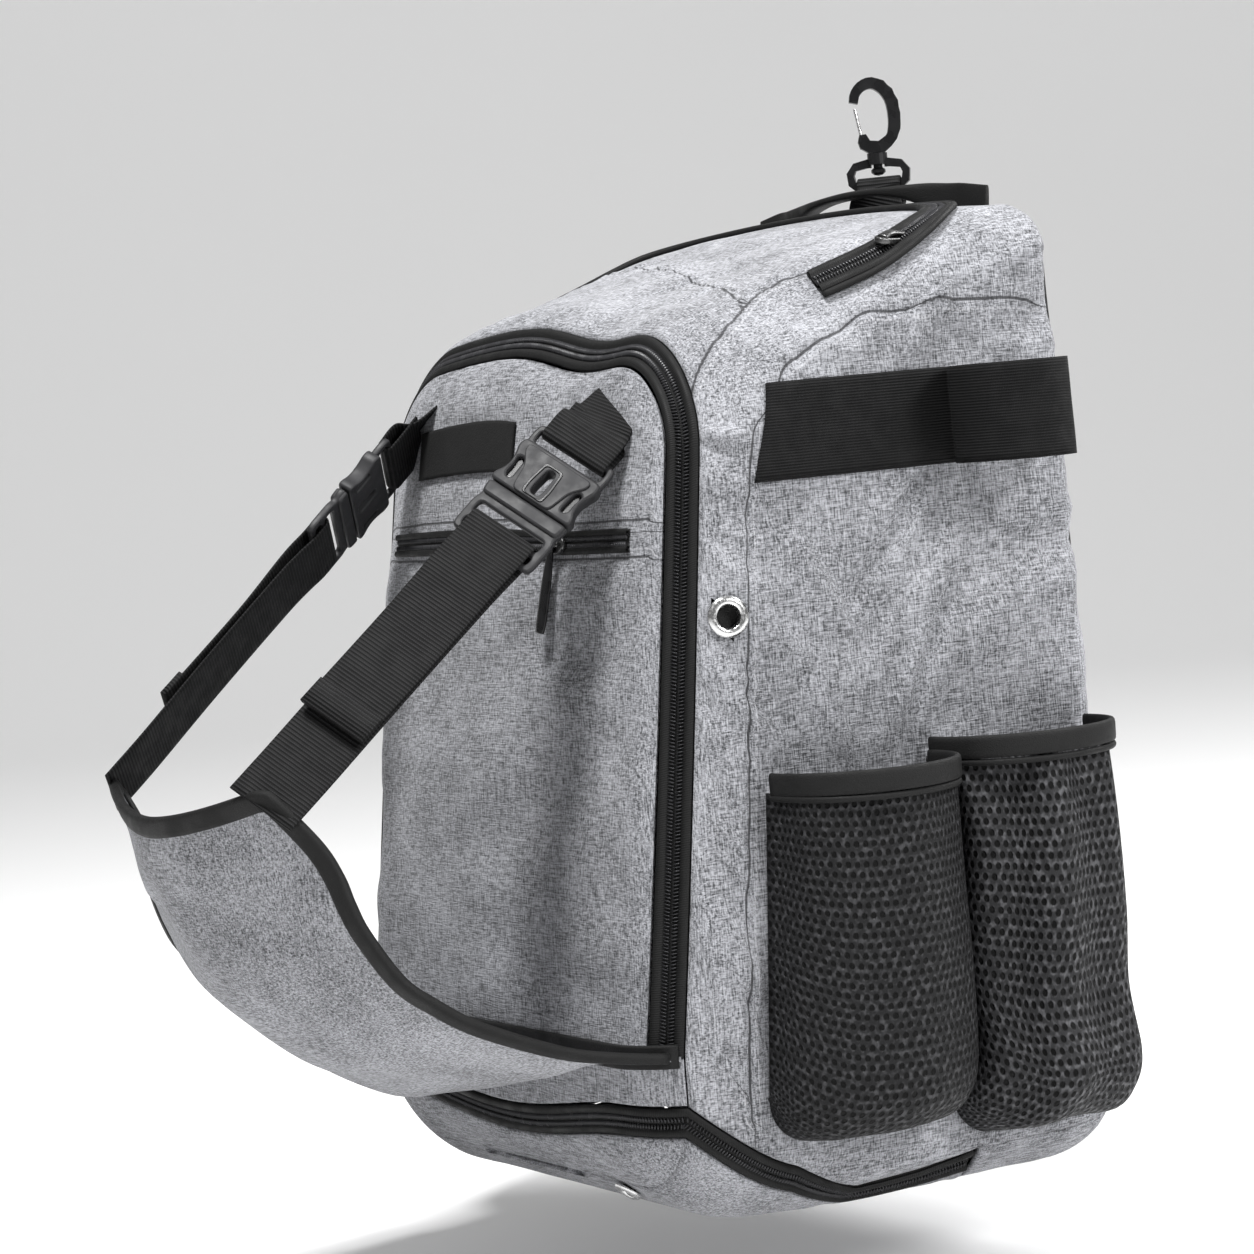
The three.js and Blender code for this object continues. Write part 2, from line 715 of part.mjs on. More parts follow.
// The slit's slider sits near its right end, the top's in front of its right corner
function slitSlider() {
  const at = [HALF_WIDTH * 0.38, SLIT_LEVEL - 4];
  return seatedSlider(slider(8, 36), frontPoint(...at), surfaceNormal(frontPoint, ...at), vec(0, 0, -1));
}

function topSlider() {
  const row = TOP_ROUTE[4];
  const at = [row.side * HALF_WIDTH, -row.back * BASE_DEPTH];
  return seatedSlider(slider(6, 22), topPoint(...at), surfaceNormal(topPoint, ...at), vec(0.2, -1, -0.2));
}

// The flap: rows from its root in the hem seam to its top edge. edge_* is the side edge and mid_*
// the middle, as shares of half the width, of the reach and of the rise
const FLAP_ROWS = [
  { edge_x: 0.90, edge_reach: 0.07, edge_rise: 0.03, mid_reach: 0.045, mid_rise: -0.11 },
  { edge_x: 0.85, edge_reach: 0.23, edge_rise: 0.08, mid_reach: 0.125, mid_rise: -0.175 },
  { edge_x: 0.815, edge_reach: 0.45, edge_rise: 0.21, mid_reach: 0.31, mid_rise: -0.16 },
  { edge_x: 0.78, edge_reach: 0.57, edge_rise: 0.32, mid_reach: 0.50, mid_rise: -0.05 },
  { edge_x: 0.75, edge_reach: 0.65, edge_rise: 0.42, mid_reach: 0.66, mid_rise: 0.10 },
  { edge_x: 0.70, edge_reach: 0.72, edge_rise: 0.60, mid_reach: 0.80, mid_rise: 0.32 },
  { edge_x: 0.67, edge_reach: 0.745, edge_rise: 0.71, mid_reach: 0.885, mid_rise: 0.54 },
  { edge_x: 0.635, edge_reach: 0.76, edge_rise: 0.82, mid_reach: 0.95, mid_rise: 0.75 },
  { edge_x: 0.60, edge_reach: 0.795, edge_rise: 0.94, mid_reach: 0.985, mid_rise: 0.89 },
  { edge_x: 0.53, edge_reach: 0.88, edge_rise: 1.12, mid_reach: 1.0, mid_rise: 1.0 },
];
const FLAP_COLUMNS = [-1, -0.86, -0.68, -0.46, -0.23, 0, 0.23, 0.46, 0.68, 0.86, 1];
const FLAP_HANG = 1.7;

function flapPoint(row, t) {
  const blend = Math.abs(t) ** FLAP_HANG;
  const reach = lerp(row.mid_reach, row.edge_reach, blend);
  const rise = lerp(row.mid_rise, row.edge_rise, blend);
  return vec(t * row.edge_x * HALF_WIDTH, -BASE_DEPTH - reach * FLAP_REACH, HEM_HEIGHT + rise * FLAP_RISE);
}

function flapGrid() {
  const [x, z] = flatPoint(outline(K_OUTER), heightMark(K_OUTER, HEM_HEIGHT));
  const root = FLAP_COLUMNS.map((t) => {
    const at = frontPoint(t * x, z);
    return at.addScaledVector(surfaceNormal(frontPoint, t * x * 0.98, z), 2 * FIT + WALL / 2);
  });
  return [root, ...FLAP_ROWS.map((row) => FLAP_COLUMNS.map((t) => flapPoint(row, t)))];
}

const flapSheet = (grow) => thicken([flapGrid()], -WALL / 2 - grow, WALL / 2 + grow);
const helmetFlap = () => mainPiece(without(flapSheet(0), ...frontRoom(), bindingBand(FIT / 2)));

// The binding runs up one side edge of the flap, along its top edge and down the other side
function bindingBand(grow) {
  const grid = flapGrid();
  const last = grid.length - 1;
  const end = FLAP_COLUMNS.length - 1;
  const outward = (at, from) => at.clone().sub(from).normalize();
  const side = (way) => grid.slice(1, -1).map((row) => {
    const [edge, from] = way > 0 ? [row[end], row[end - 1]] : [row[0], row[1]];
    return { p: edge, side: outward(edge, from) };
  });
  const top = grid[last].map((p, j) => {
    const up = outward(p, grid[last - 1][j]);
    const beside = j === 0 ? outward(p, grid[last][1]) : outward(p, grid[last][end - 1]);
    return { p, side: j === 0 || j === end ? up.add(beside).normalize() : up };
  });
  const stations = [...side(1), ...top.reverse(), ...side(-1).reverse()].map((station) => ({
    p: station.p.clone().addScaledVector(station.side, BINDING / 2 + 2 * FIT),
    side: station.side,
    width: BINDING + 2 * grow,
    thick: BINDING_THICK + 2 * grow,
  }));
  return ribbon(stations);
}

const flapBinding = () => bindingBand(0);

// The straps from the flap's top corners to the top corners of the front panel
const ANCHOR = { x: 0.62, z: 0.9036 };
const STRAP_FACE = vec(0.7, -0.5, 0.5);
const BUCKLE_AT = 0.75;
const FEMALE_LENGTH = 38;
const MALE_LENGTH = 30;
const BAR = 3;
const SLOT = 7;
const FRAME_THICK = 3;
const PRONG = 19;
const RELEASE = { foot: 5, low: 3, half: 7, shoulder: 11, tip: 16 };
const WEB_LIFT = FRAME_THICK / 2 + 1 + STRAP_THICK / 2;
const LADDER_BAR = -MALE_LENGTH + 2 * BAR + SLOT / 2;

function strapLine() {
  const corner = flapPoint(FLAP_ROWS[FLAP_ROWS.length - 1], 1);
  const anchor = frontPoint(ANCHOR.x * HALF_WIDTH, ANCHOR.z * FRONT_HEIGHT);
  const out = surfaceNormal(frontPoint, ANCHOR.x * HALF_WIDTH, ANCHOR.z * FRONT_HEIGHT);
  const along = anchor.clone().sub(corner).normalize();
  const side = along.clone().cross(STRAP_FACE).normalize();
  const face = side.clone().cross(along).normalize();
  const buckle = corner.clone().lerp(anchor, BUCKLE_AT);
  return { corner, anchor, out, along, side, face, buckle };
}

function onStrap(line, at, lift) {
  return line.buckle.clone().addScaledVector(line.along, at).addScaledVector(line.face, lift);
}

// Webbing from the flap's corner up through the male buckle's bar and back down as the loose tail
function flapStrap() {
  const line = strapLine();
  const bar = LADDER_BAR;
  const down = -line.buckle.distanceTo(line.corner) + 3;
  const lift = WEB_LIFT;
  const turn = spread(-Math.PI / 2, Math.PI / 2, 5).map((a) => [bar + lift * Math.cos(a), lift * Math.sin(a)]);
  const tail = [
    [bar - 12, lift], [bar - 32, 2 * STRAP_THICK], [bar - TAIL_LENGTH * 0.6, 1.6 * STRAP_THICK],
    [bar - TAIL_LENGTH, 2 * STRAP_THICK],
  ];
  const route = [[down, 0], [down * 0.7, -0.3], [bar - 30, -1], [bar - 12, -lift], ...turn, ...tail];
  const stations = route.map(([at, up]) => ({
    p: onStrap(line, at, up),
    side: line.side,
    width: STRAP,
    thick: STRAP_THICK,
  }));
  return mainPiece(without(ribbon(stations), bindingBand(FIT), flapSheet(FIT)));
}

// Upper webbing: sewn to the panel under the zipper, up to the female buckle, round its bar and back
function strapAnchor() {
  const line = strapLine();
  const bar = FEMALE_LENGTH - BAR / 2;
  const reach = line.buckle.distanceTo(line.anchor);
  const lift = WEB_LIFT;
  const rise = vec(0, 0, 1).addScaledVector(line.out, -line.out.z).normalize();
  const flat = line.side.clone().addScaledVector(line.out, -line.side.dot(line.out)).normalize();
  const root = line.anchor.clone().addScaledVector(line.out, FIT + STRAP_THICK);
  const turn = spread(Math.PI / 2, 3 * Math.PI / 2, 5).map((a) => [bar + lift * Math.cos(a), lift * Math.sin(a)]);
  const route = [[reach - 12, 1.5], [bar + 14, lift * 0.9], ...turn, [bar + 12, -lift], [bar + 20, -lift]];
  const stations = route.map(([at, up]) => ({ p: onStrap(line, at, up), side: line.side }));
  stations.unshift({ p: root.clone(), side: flat });
  stations.unshift({ p: root.clone().addScaledVector(rise, 9), side: flat });
  const band = ribbon(stations.map((station) => ({ ...station, width: STRAP, thick: STRAP_THICK })));
  return mainPiece(without(band, frontPanel(-4 * WALL, FIT), frontZipper(-4 * WALL, FIT)));
}

// The two halves of the buckle in their own frame: x across, y along the strap upwards, z outwards
function femaleBuckle() {
  const half = BUCKLE_WIDTH / 2;
  const slot = STRAP / 2 + 1;
  const top = FEMALE_LENGTH;
  const neck = top - BAR - SLOT - 2;
  const box = plate([[-half, 0], [half, 0], [half, neck - 4], [half - 3, neck], [-half + 3, neck], [-half, neck - 4]],
    BUCKLE_THICK);
  const frame = plate([[-half + 1, neck - 2], [half - 1, neck - 2], [half - 2, top], [-half + 2, top]],
    FRAME_THICK, [rectangle(-slot, top - BAR - SLOT, slot, top - BAR)]);
  const room = plate(rectangle(-half + 3, -1, half - 3, PRONG + FIT), BUCKLE_THICK - 4);
  const window = plate(rectangle(-half - 1, 5, -half + 9, PRONG - 2), BUCKLE_THICK - 4);
  const { foot, low, half: wide, shoulder, tip } = RELEASE;
  const release = [[-foot, low], [foot, low], [wide, shoulder], [0, tip], [-wide, shoulder]];
  const front = plate(release, BUCKLE_THICK).translate(0, 0, BUCKLE_THICK / 2);
  return without(joined(box, frame), room, window, mirrored(window), front);
}

function maleBuckle() {
  const half = BUCKLE_WIDTH / 2;
  const slot = STRAP / 2 + 1;
  const thick = BUCKLE_THICK - 4 - 2 * FIT;
  const low = -MALE_LENGTH;
  const frame = plate(rectangle(-half, low, half, -4), FRAME_THICK, [
    rectangle(-slot, low + BAR, slot, LADDER_BAR - BAR / 2),
    rectangle(-slot, LADDER_BAR + BAR / 2, slot, LADDER_BAR + BAR / 2 + SLOT),
  ]);
  const collar = plate(rectangle(-half, -6, half, -FIT), BUCKLE_THICK - 2);
  const inset = half - 3 - 2 * FIT;
  const prong = plate([
    [inset - 6, -2], [inset, -2], [inset, PRONG * 0.8], [inset - 3, PRONG - FIT], [inset - 6, PRONG * 0.9],
  ], thick);
  const guide = plate(rectangle(-2, -2, 2, PRONG * 0.7), thick);
  return joined(frame, collar, prong, mirrored(prong), guide);
}

function onBuckle(geometry) {
  const line = strapLine();
  return framed(geometry, line.buckle, line.side, line.along);
}

// The side panel's front seam: how far in front of the back wall it runs at a height
const sideSeam = (z) => -BASE_DEPTH * lerp(0.825, 0.71, clamp01(z / BAND_LEVEL));

// Pockets: a share of the height up to the rim against the share of the bulge
const BOTTLE_PROFILE = [
  { at: 0, bulge: 0 }, { at: 0.02, bulge: 0.5 }, { at: 0.07, bulge: 0.8 }, { at: 0.16, bulge: 0.97 },
  { at: 0.4, bulge: 1 }, { at: 0.7, bulge: 0.99 }, { at: 1, bulge: 0.95 },
];
const BAT_PROFILE = [
  { at: 0, bulge: 0 }, { at: 0.03, bulge: 0.62 }, { at: 0.09, bulge: 0.92 }, { at: 0.18, bulge: 1.06 },
  { at: 0.36, bulge: 0.9 }, { at: 0.55, bulge: 0.96 }, { at: 0.8, bulge: 1 }, { at: 1, bulge: 0.92 },
];
const POCKETS = {
  bottle: {
    low: BOTTLE_LOW,
    rim: BOTTLE_RIM,
    bulge: BOTTLE_BULGE,
    profile: BOTTLE_PROFILE,
    front: (z) => sideSeam(z) + 4,
    rear: () => -POCKET_SPLIT - 2 * FIT,
  },
  bat: {
    low: BAT_LOW,
    rim: BAT_RIM,
    bulge: BAT_BULGE,
    profile: BAT_PROFILE,
    front: () => -POCKET_SPLIT + 2 * FIT,
    rear: () => -POCKET_REAR,
  },
};
const POCKET_COLUMNS = 10;

// u runs from the pocket's front edge to its rear edge, v from its bottom to its rim
function pocketPoint(pocket, u, v, lift) {
  const z = lerp(pocket.low, pocket.rim, v);
  const angle = Math.PI * u;
  const front = pocket.front(z);
  const rear = pocket.rear(z);
  const y = (front + rear) / 2 - Math.cos(angle) * (rear - front) / 2;
  const out = pocket.bulge * readTable(pocket.profile, v, 'bulge') * Math.sin(angle) ** 0.75;
  return vec(sidePoint(y, z).x + lift + out, y, z);
}

function pocketSheet(pocket, levels, thick) {
  const rows = levels.map((v) => spread(0, 1, POCKET_COLUMNS).map((u) => pocketPoint(pocket, u, v, thick + 2 * FIT)));
  const middle = vec(HALF_WIDTH, (pocket.front(pocket.rim) + pocket.rear(pocket.rim)) / 2, pocket.rim);
  return thicken([rows], -thick, 0, middle);
}

function pocketNet(pocket) {
  return pocketSheet(pocket, pocket.profile.map((row) => row.at), CLOTH);
}

function pocketRim(pocket) {
  const height = pocket.rim - pocket.low;
  return pocketSheet(pocket, [1 + FIT / height, 1 + RIM_HEIGHT / height], RIM_THICK);
}

// The band over the side: flat on the panel to its stitched line, then a loop round a bat
const LOOP_ROUTE = [
  { at: 0, back: 1.15, out: 0.22 },
  { at: 1, back: 1.21, out: 0.5 },
  { at: 2, back: 1.14, out: 0.78 },
  { at: 3, back: 0.97, out: 0.97 },
  { at: 4, back: 0.76, out: 1.0 },
  { at: 5, back: 0.55, out: 0.88 },
  { at: 6, back: 0.4, out: 0.6 },
  { at: 7, back: 0.33, out: 0.28 },
  { at: 8, back: 0.29, out: 0.01 },
];

function elasticBand() {
  const low = BAND_LEVEL - BAND_WIDTH / 2;
  const rows = spread(low, low + BAND_WIDTH, 2).map((z) => {
    const start = sideSeam(z) + 3 + 12 * (z - low) / BAND_WIDTH;
    const flat = spread(start, -BAND_STITCH, 4).map((y) => sidePoint(y, z).add(vec(2 * FIT, 0, 0)));
    const loop = LOOP_ROUTE.map((row) => {
      const y = -row.back * BAND_STITCH;
      return vec(sidePoint(y, z).x + 2 * FIT + row.out * BAND_BULGE, y, z);
    });
    return [...flat, ...loop];
  });
  return thicken([rows], 0, BAND_THICK, vec(HALF_WIDTH, -0.7 * BAND_STITCH, BAND_LEVEL));
}

// The hook: swivel loop on the webbing, the snap hook that turns in its hub, and the wire gate
const HUB_LEVEL = BACK_HEIGHT + HUB_RISE;
const AXIS = vec(0, HOOK_BACK, 0);
const turned = (angle) => vec(Math.cos(angle), Math.sin(angle), 0);

// Places a piece drawn flat, x across and y up, in the upright plane turned by angle about the hook's axis
function upright(geometry, angle, level) {
  return framed(geometry, vec(AXIS.x, AXIS.y, level), turned(angle), vec(0, 0, 1));
}

function swivelBase() {
  const half = LOOP_WIDTH / 2;
  const hub = rod(vec(0, 0, 0), vec(0, HUB_HEIGHT, 0), HUB_RADIUS, 16);
  const outer = [
    [-5, 3.2], [-half + 4, 1.6], [-half, -3.5], [-half + 0.6, -10], [-half + 4, -13],
    [half - 4, -13], [half - 0.6, -10], [half, -3.5], [half - 4, 1.6], [5, 3.2],
  ];
  const inner = [
    [-6, -1.6], [-half + LOOP_WIRE + 1, -2.6], [-half + LOOP_WIRE, -5], [-half + LOOP_WIRE + 0.6, -8],
    [-half + LOOP_WIRE + 2, -9.6], [half - LOOP_WIRE - 2, -9.6], [half - LOOP_WIRE - 0.6, -8],
    [half - LOOP_WIRE, -5], [half - LOOP_WIRE - 1, -2.6], [6, -1.6],
  ];
  const loop = plate(outer, LOOP_WIRE, [inner]);
  const bore = rod(vec(0, -6, 0), vec(0, HUB_HEIGHT + 4, 0), STEM_RADIUS + FIT, 12);
  const room = rod(vec(0, -1.6, 0), vec(0, 0.2, 0), KNOB_RADIUS + FIT, 12);
  return upright(without(joined(loop, hub), bore, room), LOOP_TURN, HUB_LEVEL - HUB_HEIGHT);
}

// The bow's middle line from the base round to the nose, in millimetres from the hub's top
const BOW = [
  [2.5, 3.5], [8.2, 7.5], [10.0, 13], [10.4, 20], [9.2, 28], [5.4, 34], [0, 37.2], [-5.4, 36],
  [-9.2, 32], [-10.4, 27.2],
];
const BOW_HALF = 3;
const NOSE_HALF = 2.4;
const RIDGE = 0.7;

function bowOutline() {
  const curve = new THREE.CatmullRomCurve3(BOW.map(([x, y]) => vec(x, y, 0)));
  const steps = spread(0, 1, 24);
  const offset = (t, way) => {
    const p = curve.getPoint(t);
    const d = curve.getTangent(t);
    const ridge = way > 0 && t > 0.2 && t < 0.62 ? RIDGE * Math.abs(Math.sin(t * 26 * Math.PI / 2)) : 0;
    const half = lerp(BOW_HALF, NOSE_HALF, clamp01((t - 0.7) / 0.3)) + ridge;
    return [p.x + way * half * d.y, p.y - way * half * d.x];
  };
  return [...steps.map((t) => offset(t, 1)), ...steps.reverse().map((t) => offset(t, -1))];
}

const GATE_FOOT = [-6.8, 4.6];
const GATE_TIP = [-9.9, 24.2];
const GATE_SEAT = { outer: -12, low: 2.6, inner: -3.4, high: 14 };

function snapHook() {
  const base = plate([
    [-4.5, FIT], [4.5, FIT], [8.5, 3.5], [7.5, 7.5], [1.5, 6.2], [-3.2, 6.8], [-5.2, 10.4],
    [-8.6, 10.2], [-9.6, 6.5], [-8.6, 3],
  ], HOOK_DEPTH);
  const { outer, low, inner, high } = GATE_SEAT;
  const slot = plate(rectangle(outer, low, inner, high), 2 * GATE_RADIUS + 2 * FIT);
  const bow = plate(bowOutline(), HOOK_DEPTH);
  const stem = rod(vec(0, -HUB_HEIGHT - 1.6, 0), vec(0, 3, 0), STEM_RADIUS, 12);
  const knob = new THREE.SphereGeometry(KNOB_RADIUS, 10, 5).scale(1, 0.62, 1).translate(0, -HUB_HEIGHT - 3.6, 0);
  return upright(joined(without(joined(base, bow), slot), stem, knob), HOOK_TURN, HUB_LEVEL);
}

function hookGate() {
  const [x0, y0] = GATE_FOOT;
  const [x1, y1] = GATE_TIP;
  return upright(rod(vec(x0, y0, 0), vec(x1, y1, 0), GATE_RADIUS, 10), HOOK_TURN, HUB_LEVEL);
}

// The point that the bag hangs from: the inner top of the hook's bow
function hangingPoint() {
  const top = vec(BOW[6][0], BOW[6][1] - BOW_HALF, 0);
  return vec(AXIS.x, AXIS.y, HUB_LEVEL + top.y).addScaledVector(turned(HOOK_TURN), top.x);
}

// Webbing from the back seam up through the swivel's loop, folded over its lower bar
function hookWebbing() {
  const bar = HUB_LEVEL - HUB_HEIGHT - 11.3;
  const wrap = LOOP_WIRE / 2 + 2;
  const root = vec(0, 1.6, BACK_HEIGHT - BACK_ROUND - PAD_MARGIN + FIT);
  const narrow = LOOP_WIDTH - 2 * LOOP_WIRE - 3;
  const web = turned(WEB_TURN);
  const top = turned(LOOP_TURN);
  const front = vec(Math.sin(LOOP_TURN), -Math.cos(LOOP_TURN), 0);
  const loop = spread(0, Math.PI, 5).map((a) => ({
    p: vec(0, HOOK_BACK, bar + wrap * Math.sin(a)).addScaledVector(front, wrap * Math.cos(a)),
    side: top,
    width: narrow,
  }));
  const stations = [
    { p: root, side: vec(1, 0, 0), width: HOOK_WEB },
    { p: vec(0, 1.9, BACK_HEIGHT - BACK_ROUND + 1), side: vec(1, 0, 0), width: HOOK_WEB },
    { p: vec(0, 6, BACK_HEIGHT + 1), side: web, width: HOOK_WEB - 4 },
    { p: vec(0, HOOK_BACK, bar - 4.5).addScaledVector(front, wrap + 0.4), side: top, width: narrow },
    ...loop,
    { p: vec(0, HOOK_BACK + 2.6, bar - 5), side: top, width: narrow + 1 },
    { p: vec(0, HOOK_BACK - 0.4, BACK_HEIGHT + 1), side: web, width: narrow + 3 },
  ];
  const band = ribbon(stations.map((station) => ({ ...station, thick: 1.4 })));
  return mainPiece(without(band, bodyRoom(), backPadRoom()));
}

// The carrying handle: an arch of folded cloth whose ends widen into the back seam. side is a share
// of the reach, up the height over the back's top as a share of the rise, tall and deep are lengths
const HANDLE = [
  { side: -1, up: -0.55, tall: 1.0, deep: 0.2 },
  { side: -0.8, up: -0.2, tall: 0.95, deep: 0.2 },
  { side: -0.62, up: 0.35, tall: 0.5, deep: 0.5 },
  { side: -0.3, up: 0.85, tall: 0.2, deep: 0.95 },
  { side: 0, up: 1.05, tall: 0.18, deep: 1.0 },
  { side: 0.3, up: 1.0, tall: 0.2, deep: 0.95 },
  { side: 0.55, up: 0.6, tall: 0.5, deep: 0.5 },
  { side: 0.75, up: -0.1, tall: 0.95, deep: 0.2 },
  { side: 1, up: -0.5, tall: 1.0, deep: 0.2 },
];
const HANDLE_TALL = 24;
const HANDLE_DEEP = 12.5;
const HANDLE_FORWARD = 14;

function haulHandle() {
  const stations = HANDLE.map((row) => ({
    p: vec(row.side * HANDLE_REACH, HANDLE_THICK / 2 + FIT - (row.deep - 0.2) * HANDLE_FORWARD,
      BACK_HEIGHT + row.up * HANDLE_RISE),
    side: vec(0, 0, 1),
    width: row.tall * HANDLE_TALL,
    thick: row.deep * HANDLE_DEEP,
  }));
  return mainPiece(without(ribbon(stations), bodyRoom(), backPadRoom()));
}

function backPadRoom() {
  const o = outline(1);
  const reach = PAD_THICK + 4;
  const top = o.top - PAD_MARGIN;
  return new THREE.BoxGeometry(BAG_WIDTH, reach, top).translate(0, reach / 2, top / 2 + FIT);
}

// The shoulder straps on the back, hidden in front views
const STRAP_ROUTE = [
  { side: 0.30, back: 0.02, up: 0.93 },
  { side: 0.31, back: 0.16, up: 0.905 },
  { side: 0.34, back: 0.62, up: 0.84 },
  { side: 0.37, back: 0.95, up: 0.74 },
  { side: 0.40, back: 1.0, up: 0.62 },
  { side: 0.44, back: 0.82, up: 0.50 },
  { side: 0.50, back: 0.55, up: 0.405 },
];
const STRAP_STAND = 26;
const LOCK = { width: 33, height: 26, thick: 5, bar: 3, slot: 4 };

function strapRoute() {
  return STRAP_ROUTE.map((row) => vec(
    row.side * HALF_WIDTH,
    PAD_THICK + FIT + PAD_STRAP_THICK / 2 + 1 + row.back * STRAP_STAND,
    row.up * BACK_HEIGHT,
  ));
}

function shoulderStrap() {
  const route = strapRoute();
  const stations = route.map((p, i) => ({
    p,
    side: vec(1, 0, 0),
    width: i + 1 === route.length ? LOCK.width + 6 : PAD_STRAP * (1 - 0.03 * i),
    thick: PAD_STRAP_THICK * (i + 1 === route.length ? 0.4 : 1),
  }));
  const wall = new THREE.BoxGeometry(BAG_WIDTH, PAD_THICK + 2 * FIT, BACK_HEIGHT);
  return without(ribbon(stations), wall.translate(0, PAD_THICK / 2 + FIT, BACK_HEIGHT / 2));
}

function lockFrame() {
  const route = strapRoute();
  const end = route[route.length - 1];
  const foot = vec(0.86 * HALF_WIDTH, PAD_THICK + 4, 0.09 * BACK_HEIGHT);
  const down = foot.clone().sub(end).normalize();
  const at = end.clone().addScaledVector(down, LOCK.height / 2 + 3);
  const side = vec(1, 0, 0).addScaledVector(down, -down.x).normalize();
  return { at, side, down, foot };
}

function ladderLock() {
  const { at, side, down } = lockFrame();
  const { width, height, thick } = LOCK;
  const inner = THIN_WEB / 2 + 1;
  const low = LOCK.bar - height / 2;
  const slots = [low, low + LOCK.slot + LOCK.bar, height / 2 - LOCK.bar - LOCK.slot];
  const body = plate(rectangle(-width / 2, -height / 2, width / 2, height / 2), thick,
    slots.map((foot) => rectangle(-inner, foot, inner, foot + LOCK.slot)));
  return framed(body, at, side, down.clone().negate());
}

function lowerWebbing() {
  const { at, side, down, foot } = lockFrame();
  const start = at.clone().addScaledVector(down, LOCK.height / 2 + FIT + 0.2);
  const end = vec(foot.x, PAD_THICK + FIT + 1, foot.z - 12);
  const route = [start, foot, end];
  return ribbon(route.map((p, i) => ({ p, side: i < 2 ? side : vec(1, 0, 0.35), width: THIN_WEB, thick: 1.5 })));
}

// Colours, roughness and metalness as the photograph shows them
const finish = (color, roughness, metalness = 0) => new THREE.MeshStandardMaterial({ color, roughness, metalness });
const HEATHER = finish(0x8e9196, 0.95);
const BLACK_CLOTH = finish(0x17171a, 0.9);
const WEBBING = finish(0x131315, 0.8);
const NET = finish(0x1b1b1e, 0.85);
const ELASTIC = finish(0x151517, 0.9);
const FOAM_NET = finish(0x1c1d20, 0.85);
const PLASTIC = finish(0x1e1f22, 0.45);
const METAL = finish(0xc8cacc, 0.25, 1);

const bag = new THREE.Group();
const origin = hangingPoint();
bag.position.set(-origin.x, -origin.y, -origin.z);

function add(name, geometry, material) {
  geometry.computeVertexNormals();
  const mesh = new THREE.Mesh(geometry, material);
  mesh.name = name;
  bag.add(mesh);
}

function addPair(name, geometry, material) {
  add(`${name}_right`, geometry, material);
  add(`${name}_left`, mirrored(geometry), material);
}

add('body_shell', bodyShell(), HEATHER);
add('front_panel', frontPanel(), HEATHER);
add('front_zipper', frontZipper(), BLACK_CLOTH);
add('lower_front_panel', lowerPanel(), HEATHER);
add('shoe_zipper', shoeZipper(), BLACK_CLOTH);
add('shoe_panel', shoePanel(), HEATHER);
add('back_pad', backPad(), FOAM_NET);
addPair('vent_grommet', seated(grommet(GROMMET_HOLE, GROMMET_RADIUS), ventFrame()), METAL);
add('shoe_grommet', seated(grommet(TOE_HOLE, TOE_RIM), toeFrame()), METAL);
add('slit_zipper', frontStrip(0, SLIT_LEVEL, SLIT_LENGTH, SLIT_HEIGHT, TAPE), BLACK_CLOTH);
const patchSide = -HALF_WIDTH * 0.26;
add('hook_patch', frontStrip(patchSide, PATCH_LEVEL, PATCH_LENGTH, PATCH_HEIGHT, CLOTH, 6), BLACK_CLOTH);
add('top_zipper', topZipper(), BLACK_CLOTH);
add('slit_slider', slitSlider(), METAL);
add('top_slider', topSlider(), METAL);
add('helmet_flap', helmetFlap(), HEATHER);
add('flap_binding', flapBinding(), BLACK_CLOTH);
addPair('flap_strap', flapStrap(), WEBBING);
addPair('strap_anchor', strapAnchor(), WEBBING);
addPair('buckle_female', onBuckle(femaleBuckle()), PLASTIC);
addPair('buckle_male', onBuckle(maleBuckle()), PLASTIC);
for (const [name, pocket] of Object.entries(POCKETS)) {
  addPair(`${name}_pocket`, pocketNet(pocket), NET);
  addPair(`${name}_rim`, pocketRim(pocket), BLACK_CLOTH);
}
addPair('elastic_band', elasticBand(), ELASTIC);
add('swivel_base', swivelBase(), PLASTIC);
add('snap_hook', snapHook(), PLASTIC);
add('hook_gate', hookGate(), METAL);
add('hook_webbing', hookWebbing(), WEBBING);
add('haul_handle', haulHandle(), BLACK_CLOTH);
addPair('shoulder_strap', shoulderStrap(), FOAM_NET);
addPair('ladder_lock', ladderLock(), PLASTIC);
addPair('strap_webbing', lowerWebbing(), WEBBING);

export default bag;
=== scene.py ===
import json
import math

import bpy
import numpy as np
from mathutils import Matrix, Vector, noise


